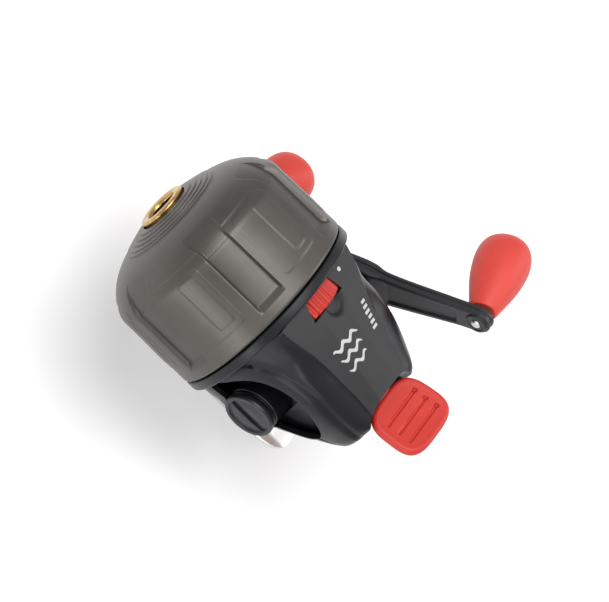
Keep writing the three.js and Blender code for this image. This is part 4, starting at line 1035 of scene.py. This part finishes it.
for nm, s in (("a", 1), ("b", -1)):
    kc = (CRANK[0] + s * 46.5 * UX, 0, CRANK[1] + s * 46.5 * UZ)
    y0 = float(arm_mid(46.5))
    bp = fillet([(y0 + 1.6, 0), (y0 + 1.6, 3.9), (y0 + 2.1, 4.0), (y0 + 2.6, 3.6), (y0 + 2.65, 2.9), (y0 + 2.4, 2.7), (y0 + 2.4, 0)], [0, 0.1, 0.3, 0.3, 0.15, 0.1, 0], 4, closed=False)
    make("arm_boss_" + nm, *revolve(bp, 72, "y", kc), M["handle"], "crank", "handle_black", 40)
    rv = fillet([(y0 + 2.2, 0), (y0 + 2.2, 1.7), (y0 + 2.65, 1.65), (y0 + 2.95, 1.1), (y0 + 3.0, 0)], [0, 0.1, 0.4, 0.5, 0], 4, closed=False)
    make("spindle_rivet_" + nm, *revolve(rv, 48, "y", kc), M["steel"], "crank", "steel", 40)
    sp = fillet([(-39.0, 0), (-39.0, 1.6), (-66, 1.6), (-66.4, 1.2), (-66.4, 0)], [0, 0.1, 0.2, 0.1, 0], 3, closed=False)
    sv, sf = revolve(sp, 40, "y")
    s1 = make("spindle_pin_" + nm, lean(sv, s), sf, M["steel"], "crank", "steel", 40)
    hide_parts("knob_spindle_" + nm)
    prof = catmull([(0.0, 0.47), (0.03, 0.52), (0.08, 0.575), (0.2, 0.70), (0.33, 0.83), (0.46, 0.93), (0.6, 0.99), (0.7, 1.0), (0.79, 0.97), (0.87, 0.885), (0.935, 0.73), (0.975, 0.54), (0.995, 0.26), (1.0, 0.0)], 96)
    rings = []
    W = 18.6 / 2
    N = 112
    for t, k in prof:
        ring_p = []
        for i in range(N):
            a = TAU * i / N
            ca, sa = math.cos(a), math.sin(a)
            e = 0.93
            flat = 0.93 + 0.07 * float(1 - sstep(0.0, 0.35, np.array(t)))
            # moulding seam along both narrow sides
            seam = -0.10 * math.exp(-((sa) / 0.035) ** 2) * float(sstep(0.03, 0.08, np.array(t)))
            r1_ = W * k
            ux = math.copysign(abs(ca) ** e, ca) * r1_ + (seam * math.copysign(1, ca) if abs(ca) > 0.5 else 0)
            vz = math.copysign(abs(sa) ** e, sa) * r1_ * flat
            ring_p.append((ux, -43.0 - 30.5 * t, vz))
        rings.append(ring_p)
    # neck ring and bore at the arm end
    neck = [[(x * 0.86, -43.0, z * 0.86) for x, _, z in rings[0]], [(x * 0.46, -43.0, z * 0.46) for x, _, z in rings[0]], [(x * 0.46, -47, z * 0.46) for x, _, z in rings[0]]]
    v, f = loft(neck[::-1] + rings, cap=True)
    kn = make("crank_knob_" + nm, lean(v, s), f, M["grip"], "grip_" + nm, "grip_red", 60)
    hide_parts("knob_" + nm)

rv = fillet([(-40.6, 0), (-40.6, 4.1), (-41.5, 4.0), (-42.2, 3.0), (-42.4, 0)], [0, 0.2, 0.5, 0.6, 0], 5, closed=False)
r = make("hub_rivet", *revolve(rv, 64, "y", CK), M["steel"], "crank", "steel", 40)
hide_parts("handle_rivet")
hs = fillet([(-35.0, 0), (-35.0, 5.9), (-33.0, 6.3), (-27.0, 6.2), (-26.0, 5.6), (-26.0, 0)], [0, 0.3, 0.5, 0.4, 0.3, 0], 4, closed=False)
make("crank_collar", *revolve(hs, 96, "y", CK), M["handle"], "crank", "handle_black", 40)

# ------------------------------------------------------------------ drag dial
def build_dial():
    ribs = 30
    n = ribs * 14
    cx, z0 = (3.7 + 10.9) / 2, AXIS + 17.2
    half = 3.6
    prof = []
    for s in np.linspace(0, 1, 9):
        a = math.pi / 2 * s
        prof.append((-half + 1.25 * (1 - math.cos(math.pi / 2 - a + 0)) * 0 - 0, 0))
    rows = []
    # across the tread: rounded shoulders, crowned top
    xs = np.r_[[-3.6] * 1, -3.6 + 1.1 * (1 - np.cos(np.linspace(0, math.pi / 2, 7))), np.linspace(-2.3, 2.3, 9), 3.6 - 1.1 * (1 - np.cos(np.linspace(math.pi / 2, 0, 7))), [3.6]]
    drop = np.r_[[1.35], 1.1 * (1 - np.sin(np.linspace(0, math.pi / 2, 7))), [0] * 9, 1.1 * (1 - np.sin(np.linspace(math.pi / 2, 0, 7))), [1.35]]
    verts, faces = [], []
    R0 = 11.75
    th = TAU * np.arange(n) / n
    wave = np.cos(th * ribs)
    prof_r = 0.42 * np.sign(wave) * np.abs(wave) ** 0.55
    nodes = []
    loopx = [(-3.6, 3.5), (-3.6, 5.4), (-3.0, 5.6), (-2.9, 8.9), (-3.6, 9.2)]
    loopx2 = [(3.6, 9.4), (3.1, 8.9), (3.1, 6.2), (3.6, 5.8), (3.6, 3.5)]
    outer = list(zip(xs, drop))
    rowsr = []
    for (x, r) in loopx:
        rowsr.append((x, np.full(n, r)))
    for (x, d) in outer:
        amp = float(1 - sstep(0.25, 1.3, np.array(d)))
        rowsr.append((x, R0 - 0.42 - d + prof_r * amp))
    for (x, r) in loopx2:
        rowsr.append((x, np.full(n, r)))
    for x, rr in rowsr:
        for i in range(n):
            verts.append((cx + x, rr[i] * math.sin(th[i]), z0 + rr[i] * math.cos(th[i])))
    m = len(rowsr)
    for k in range(m):
        k2 = (k + 1) % m
        for i in range(n):
            j = (i + 1) % n
            faces.append((k * n + i, k * n + j, k2 * n + j, k2 * n + i))
    o = make("drag_thumbwheel", verts, faces, M["red"], "dial", "red_plastic", 45)
    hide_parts("drag_dial")


build_dial()

# --------------------------------------------------------------- thumb button
def build_button():
    W2, L2, T = 25.7 / 2, 21.3 / 2, 3.4
    tilt = math.radians(16)

    def outline(k, n=200, e=2 / 3.3):
        pts = []
        for i in range(n):
            t = TAU * i / n
            c, s = math.cos(t), math.sin(t)
            x = math.copysign(abs(c) ** e, c)
            y = math.copysign(abs(s) ** e, s)
            pts.append(((L2 - k) * x, (W2 * (1 - 0.03 * x) - k) * y))
        return pts

    def top_z(x, y):
        dish = 0.6 * (1 - min(1.0, (x / L2) ** 2)) * (1 - min(1.0, (y / W2) ** 2))
        z = -dish
        for gx in (-4.9, -0.6, 3.7):
            inside = 1 - float(sstep(8.2, 8.9, np.array(abs(y - 0.3))))
            g = abs(x - gx)
            z -= 0.62 * float(1 - sstep(0.2, 0.75, np.array(g))) * inside
            # small round pit at the right-hand end of each groove
            z -= 0.95 * float(1 - sstep(0.5, 1.0, np.array(math.hypot(x - gx, y + 8.3))))
        return z

    n = 240
    rings = []
    # underside, rounded edge, then the top as shrinking rings
    for k, z in [(2.4, -T + 0.15), (1.3, -T), (0.55, -T + 0.2), (0.15, -T + 0.65), (0.0, -T + 1.2), (0.0, -1.55), (0.1, -1.05), (0.32, -0.62), (0.7, -0.28), (1.2, -0.08)]:
        rings.append([(x, y, z) for x, y in outline(k, n)])
    base = outline(1.2, n)
    for s in np.linspace(0.99, 0.01, 100):
        w = float(sstep(0.86, 0.995, np.array(s)))
        rings.append([(x * s, y * s, -0.08 * w + top_z(x * s, y * s) * (1 - w)) for x, y in base])
    v, f = loft(rings, cap=True)
    x, y, z = v[:, 0], v[:, 1], v[:, 2]
    # local +x of the paddle runs forward and down
    X = -42.9 + x * math.cos(tilt) + z * math.sin(tilt)
    Z = 14.2 - x * math.sin(tilt) + z * math.cos(tilt)
    P = np.stack([X, y, Z + AXIS], axis=1)
    o = make("thumb_button_pad", P, f, M["red"], "button", "red_plastic", 50)
    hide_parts("thumb_button")
    # neck: rounded bar from the pivot hub into the pad
    path = [(-25.2, 9.1, 2.4), (-28.5, 8.9, 2.3), (-31.6, 8.9, 2.1), (-34.5, 9.2, 1.6), (-38, 9.9, 1.3), (-41, 10.7, 1.1)]
    pc = catmull(path, 26)
    rings = []
    for i, (px, pz, h) in enumerate(pc):
        a = pc[max(i - 1, 0)]
        b = pc[min(i + 1, len(pc) - 1)]
        tx, tz = b[0] - a[0], b[1] - a[1]
        l = math.hypot(tx, tz)
        nx, nz = -tz / l, tx / l
        ring_p = []
        for k in range(40):
            t = TAU * k / 40
            c, s = math.cos(t), math.sin(t)
            yy = 4.1 * math.copysign(abs(c) ** 0.5, c)
            hh = h * math.copysign(abs(s) ** 0.5, s)
            ring_p.append((px + nx * hh, yy, pz + nz * hh + AXIS))
        rings.append(ring_p)
    nv, nf = loft(rings)
    make("thumb_button_neck", nv, nf, M["red"], "button", "red_plastic", 50)
    hub = fillet([(-8, 1.6), (-8, 3.1), (8, 3.1), (8, 1.6)], [0.2, 0.4, 0.4, 0.2], 3)
    make("thumb_button_hub", *revolve(hub, 56, "y", (-26, 0, AXIS + 9)), M["red"], "button", "red_plastic", 40)
    arm = fillet([(-25.6, 7.2), (-27.8, 6.6), (-30.6, 2), (-31.1, -0.6), (-30.4, -1.8), (-29.1, -1.6), (-28.5, 0), (-28.7, 1.8), (-28.4, 3.6)], 0.5, 3)
    avv, aff = prism([(a, b + AXIS) for a, b in arm], "y", -2.2, 2.2)
    armo = make("thumb_button_finger", avv, aff, M["red"], None, smooth=40)
    bv = armo.modifiers.new("b", "BEVEL")
    bv.width = 0.3 * MM
    bv.segments = 2
    bv.limit_method = "ANGLE"
    bv.angle_limit = math.radians(60)
    bake(armo)
    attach(armo, "button")


build_button()

# ----------------------------------------------------------------------- foot
def build_foot():
    st_ = [(-32.0, 1.4, 0.75), (-31.6, 2.9, 0.85), (-30.6, 4.6, 1.0), (-28.8, 5.9, 1.15), (-26, 6.8, 1.35), (-22, 7.4, 1.75), (-17, 7.5, 2.2), (-13, 7.5, 2.4)]
    st_ = st_ + [(0, 7.5, 2.4)] + [(-a, b, c) for a, b, c in st_[::-1]]
    xs = np.r_[np.linspace(-32, -26, 26), np.linspace(-25.6, 25.6, 60), np.linspace(26, 32, 26)]
    w = pchip([s[0] for s in st_], [s[1] for s in st_], xs)
    t = pchip([s[0] for s in st_], [s[2] for s in st_], xs)
    rings = []
    for x, hw, th in zip(xs, w, t):
        up, dn = [], []
        sag = lambda y: -0.7 * float(sstep(3.4, 7.5, np.array(abs(y))))
        r = min(0.45, th * 0.35)
        ys = np.linspace(-1, 1, 41)
        for s in ys:
            y = hw * s
            edge = max(0.0, abs(y) - (hw - r))
            dz = r - math.sqrt(max(0.0, r * r - edge * edge)) if edge > 0 else 0
            up.append((x, y, th + sag(y) * 0.9 - dz))
            dn.append((x, y, sag(y) + dz * 0.8))
        rings.append(up + dn[::-1])
    v, f = loft(rings)
    o = make("foot_plate", v, f, M["steel"], None, smooth=45)
    cuts = []
    for x in (-7, 7):
        cuts.append(cutter("c", *revolve([(-2, 0), (-2, 3.3), (0.05, 3.15), (1.6, 1.5), (4, 1.5), (4, 0)], 64, "z", (x, 0, 0))))
    boolean(o, cuts, bevel=0.12, segs=2, angle=30)
    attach(o, "frame")
    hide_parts("reel_foot")
    for nm, x in (("rear", -7), ("front", 7)):
        p = fillet([(0.12, 0), (0.12, 2.55), (0.28, 2.65), (1.7, 0.9), (10.5, 0.85), (10.5, 0)], [0, 0.1, 0.05, 0.1, 0.1, 0], 3, closed=False)
        s = make("foot_bolt_" + nm, *revolve(p, 48, "z", (x, 0, 0)), M["steel"], None, smooth=40)
        cc = []
        for ang in (0, 90):
            a = math.radians(ang + 20)
            q = [(-1.7, -0.28), (1.7, -0.28), (1.7, 0.28), (-1.7, 0.28)]
            q = [(x + c * math.cos(a) - d * math.sin(a), c * math.sin(a) + d * math.cos(a)) for c, d in q]
            cc.append(cutter("c", *prism(q, "z", -1, 0.75)))
        boolean(s, cc)
        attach(s, "frame")
        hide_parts("foot_screw_" + nm)


build_foot()


# ---------------------------------------------------------------- deck marks
def deck_z(x, y):
    p = section(x)
    y1, a = p[1][0], abs(y)
    s = min(1.0, a / y1)
    lift = 1.0 * float(sstep(8.0, -2.0, np.array(x)))
    return p[0][1] + (p[1][1] - p[0][1]) * s ** 2 + lift * (1.0 if a <= 5.4 else max(0.0, 1 - (a - 5.4) / (y1 - 5.4)))


def mark(name, outline, lift=0.06):
    """thin printed mark lying on the deck"""
    pts = densify(outline, 0.8)
    n = len(pts)
    verts = [(x, y, deck_z(x, y) + lift + AXIS) for x, y in pts] + [(x, y, deck_z(x, y) - 0.08 + AXIS) for x, y in pts]
    faces = [tuple(range(n)), tuple(range(n, 2 * n))] + [(i, (i + 1) % n, n + (i + 1) % n, n + i) for i in range(n)]
    me = bpy.data.meshes.new(name)
    me.from_pydata([tuple(np.array(v) * MM) for v in verts], [], faces)
    bm = bmesh.new()
    bm.from_mesh(me)
    bmesh.ops.recalc_face_normals(bm, faces=bm.faces)
    bmesh.ops.triangulate(bm, faces=bm.faces)
    bm.to_mesh(me)
    bm.free()
    o = bpy.data.objects.new(name, me)
    bpy.context.scene.collection.objects.link(o)
    me.materials.append(M["paint"])
    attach(o, "frame")
    return o


# three plain waves, and a row of short bars along the right edge
for k in range(3):
    x0 = -9.2 - 3.9 * k
    amp, wid = 0.75, 1.45 - 0.12 * k
    half = 6.4 - 0.7 * k
    y0 = 3.2
    ys = np.linspace(-half, half, 33)
    mid = [(x0 + amp * math.sin(y * 1.25 + 0.4), y0 + y) for y in ys]
    up = [(x + wid / 2 * (1 - (abs(y - y0) / half) ** 4 * 0.7), y) for x, y in mid]
    dn = [(x - wid / 2 * (1 - (abs(y - y0) / half) ** 4 * 0.7), y) for x, y in mid]
    mark("deck_wave_%d" % k, up + dn[::-1])
for k in range(6):
    x0 = -6.2 - 1.75 * k
    y1 = -(13.0 - 0.17 * (k * 1.75))
    mark("deck_bar_%d" % k, [(x0, y1), (x0 + 1.0, y1), (x0 + 1.0, y1 + 2.0 + 0.25 * (k % 3)), (x0, y1 + 2.0 + 0.25 * (k % 3))])
dot = [(7.9 + 0.75 * math.cos(t), -12.0 + 0.75 * math.sin(t)) for t in np.linspace(0, TAU, 24, endpoint=False)]
mark("dial_index_dot", dot)

# -------------------------------------------------------- carried-over nodes
SLOT_MAT = {"cover_metal": "cover", "body_plastic": "case", "red_plastic": "red", "grip_red": "grip", "handle_black": "handle", "brass": "brass",
            "steel": "steel", "alloy": "alloy", "rubber": "rubber", "felt": "felt", "line": "line"}
for s in frame["record"]["subparts"]:
    ob = frame["nodes"].get(s["node"])
    if ob is None:
        continue
    mat = M[SLOT_MAT[s["material_slot"]]]
    if not ob.data.materials:
        ob.data.materials.append(mat)
    for i in range(len(ob.material_slots)):
        ob.material_slots[i].link = "OBJECT"
        ob.material_slots[i].material = mat

# ------------------------------------------------------------ floor and light
fv, ff = prism([(-1500, -1500), (1500, -1500), (1500, 1500), (-1500, 1500)], "z", -24, -22)
floor = cutter("studio_floor", fv, ff)
fm = bpy.data.materials.new("mat_floor")
nt, p = nodes_of(fm)
v = coords(nt)
nt.links.new(mix(nt, noise(nt, v, 3, 3), (0.86, 0.86, 0.86), (0.9, 0.9, 0.9)), p.inputs["Base Color"])
p.inputs["Roughness"].default_value = 0.9
p.inputs["Specular IOR Level"].default_value = 0.1
floor.data.materials.append(fm)
floor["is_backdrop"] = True

world = bpy.data.worlds.new("studio")
bpy.context.scene.world = world
world.use_nodes = True
bg = world.node_tree.nodes["Background"]
bg.inputs[0].default_value = (1.0, 1.0, 1.0, 1)
bg.inputs[1].default_value = 0.68


def area(name, loc, size, power, target=(0, 0, 0.04), col=(1, 1, 1)):
    d = bpy.data.lights.new(name, "AREA")
    d.shape = "RECTANGLE"
    d.size, d.size_y = size
    d.energy = power
    d.color = col
    o = bpy.data.objects.new(name, d)
    bpy.context.scene.collection.objects.link(o)
    o.location = loc
    o.rotation_euler = (Vector(target) - Vector(loc)).to_track_quat("-Z", "Y").to_euler()
    o.visible_camera = False
    return o


area("key", (0.12, 0.1, 1.0), (0.75, 0.75), 8.0)
area("left_strip", (-0.1, 0.95, 0.25), (0.9, 0.22), 3.4)
area("back_right", (-0.55, -0.65, 0.6), (0.5, 0.5), 3.0)

# --------------------------------------------------------------------- camera
right = Vector((-0.7059, -0.5101, 0.4915)).normalized()
back = Vector((0.2, 0.522, 0.829)).normalized()
up = back.cross(right).normalized()
right = up.cross(back).normalized()
cam_d = bpy.data.cameras.new("camera")
cam = bpy.data.objects.new("camera", cam_d)
bpy.context.scene.collection.objects.link(cam)
cam_d.sensor_width = 36
cam_d.lens = 620
lo, hi = [Vector(c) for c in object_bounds()]
pts3 = []
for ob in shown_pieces():
    mw = ob.matrix_world
    for c in ob.bound_box:
        pts3.append(mw @ Vector(c))
us = [right.dot(q) for q in pts3]
vs = [up.dot(q) for q in pts3]
ws = [back.dot(q) for q in pts3]
cu, cv, cw = (min(us) + max(us)) / 2, (min(vs) + max(vs)) / 2, (min(ws) + max(ws)) / 2
centre = right * cu + up * cv + back * cw
span = max((max(us) - min(us)) / 1.0, (max(vs) - min(vs)) * 609 / 602)
dist = span / 0.82 * cam_d.lens / 36
cam.matrix_world = Matrix((
    (right.x, up.x, back.x, centre.x + back.x * dist),
    (right.y, up.y, back.y, centre.y + back.y * dist),
    (right.z, up.z, back.z, centre.z + back.z * dist),
    (0, 0, 0, 1)))
cam_d.clip_start = 0.01
cam_d.clip_end = 20
bpy.context.scene.camera = cam
print("CAMINFO %.4f %.4f %.4f %.5f" % (centre.x / MM, centre.y / MM, centre.z / MM, 609 * cam_d.lens / 36 / dist * MM))
bpy.context.scene.view_settings.view_transform = "Standard"
bpy.context.scene.view_settings.look = "None"
bpy.context.scene.view_settings.exposure = 0.0
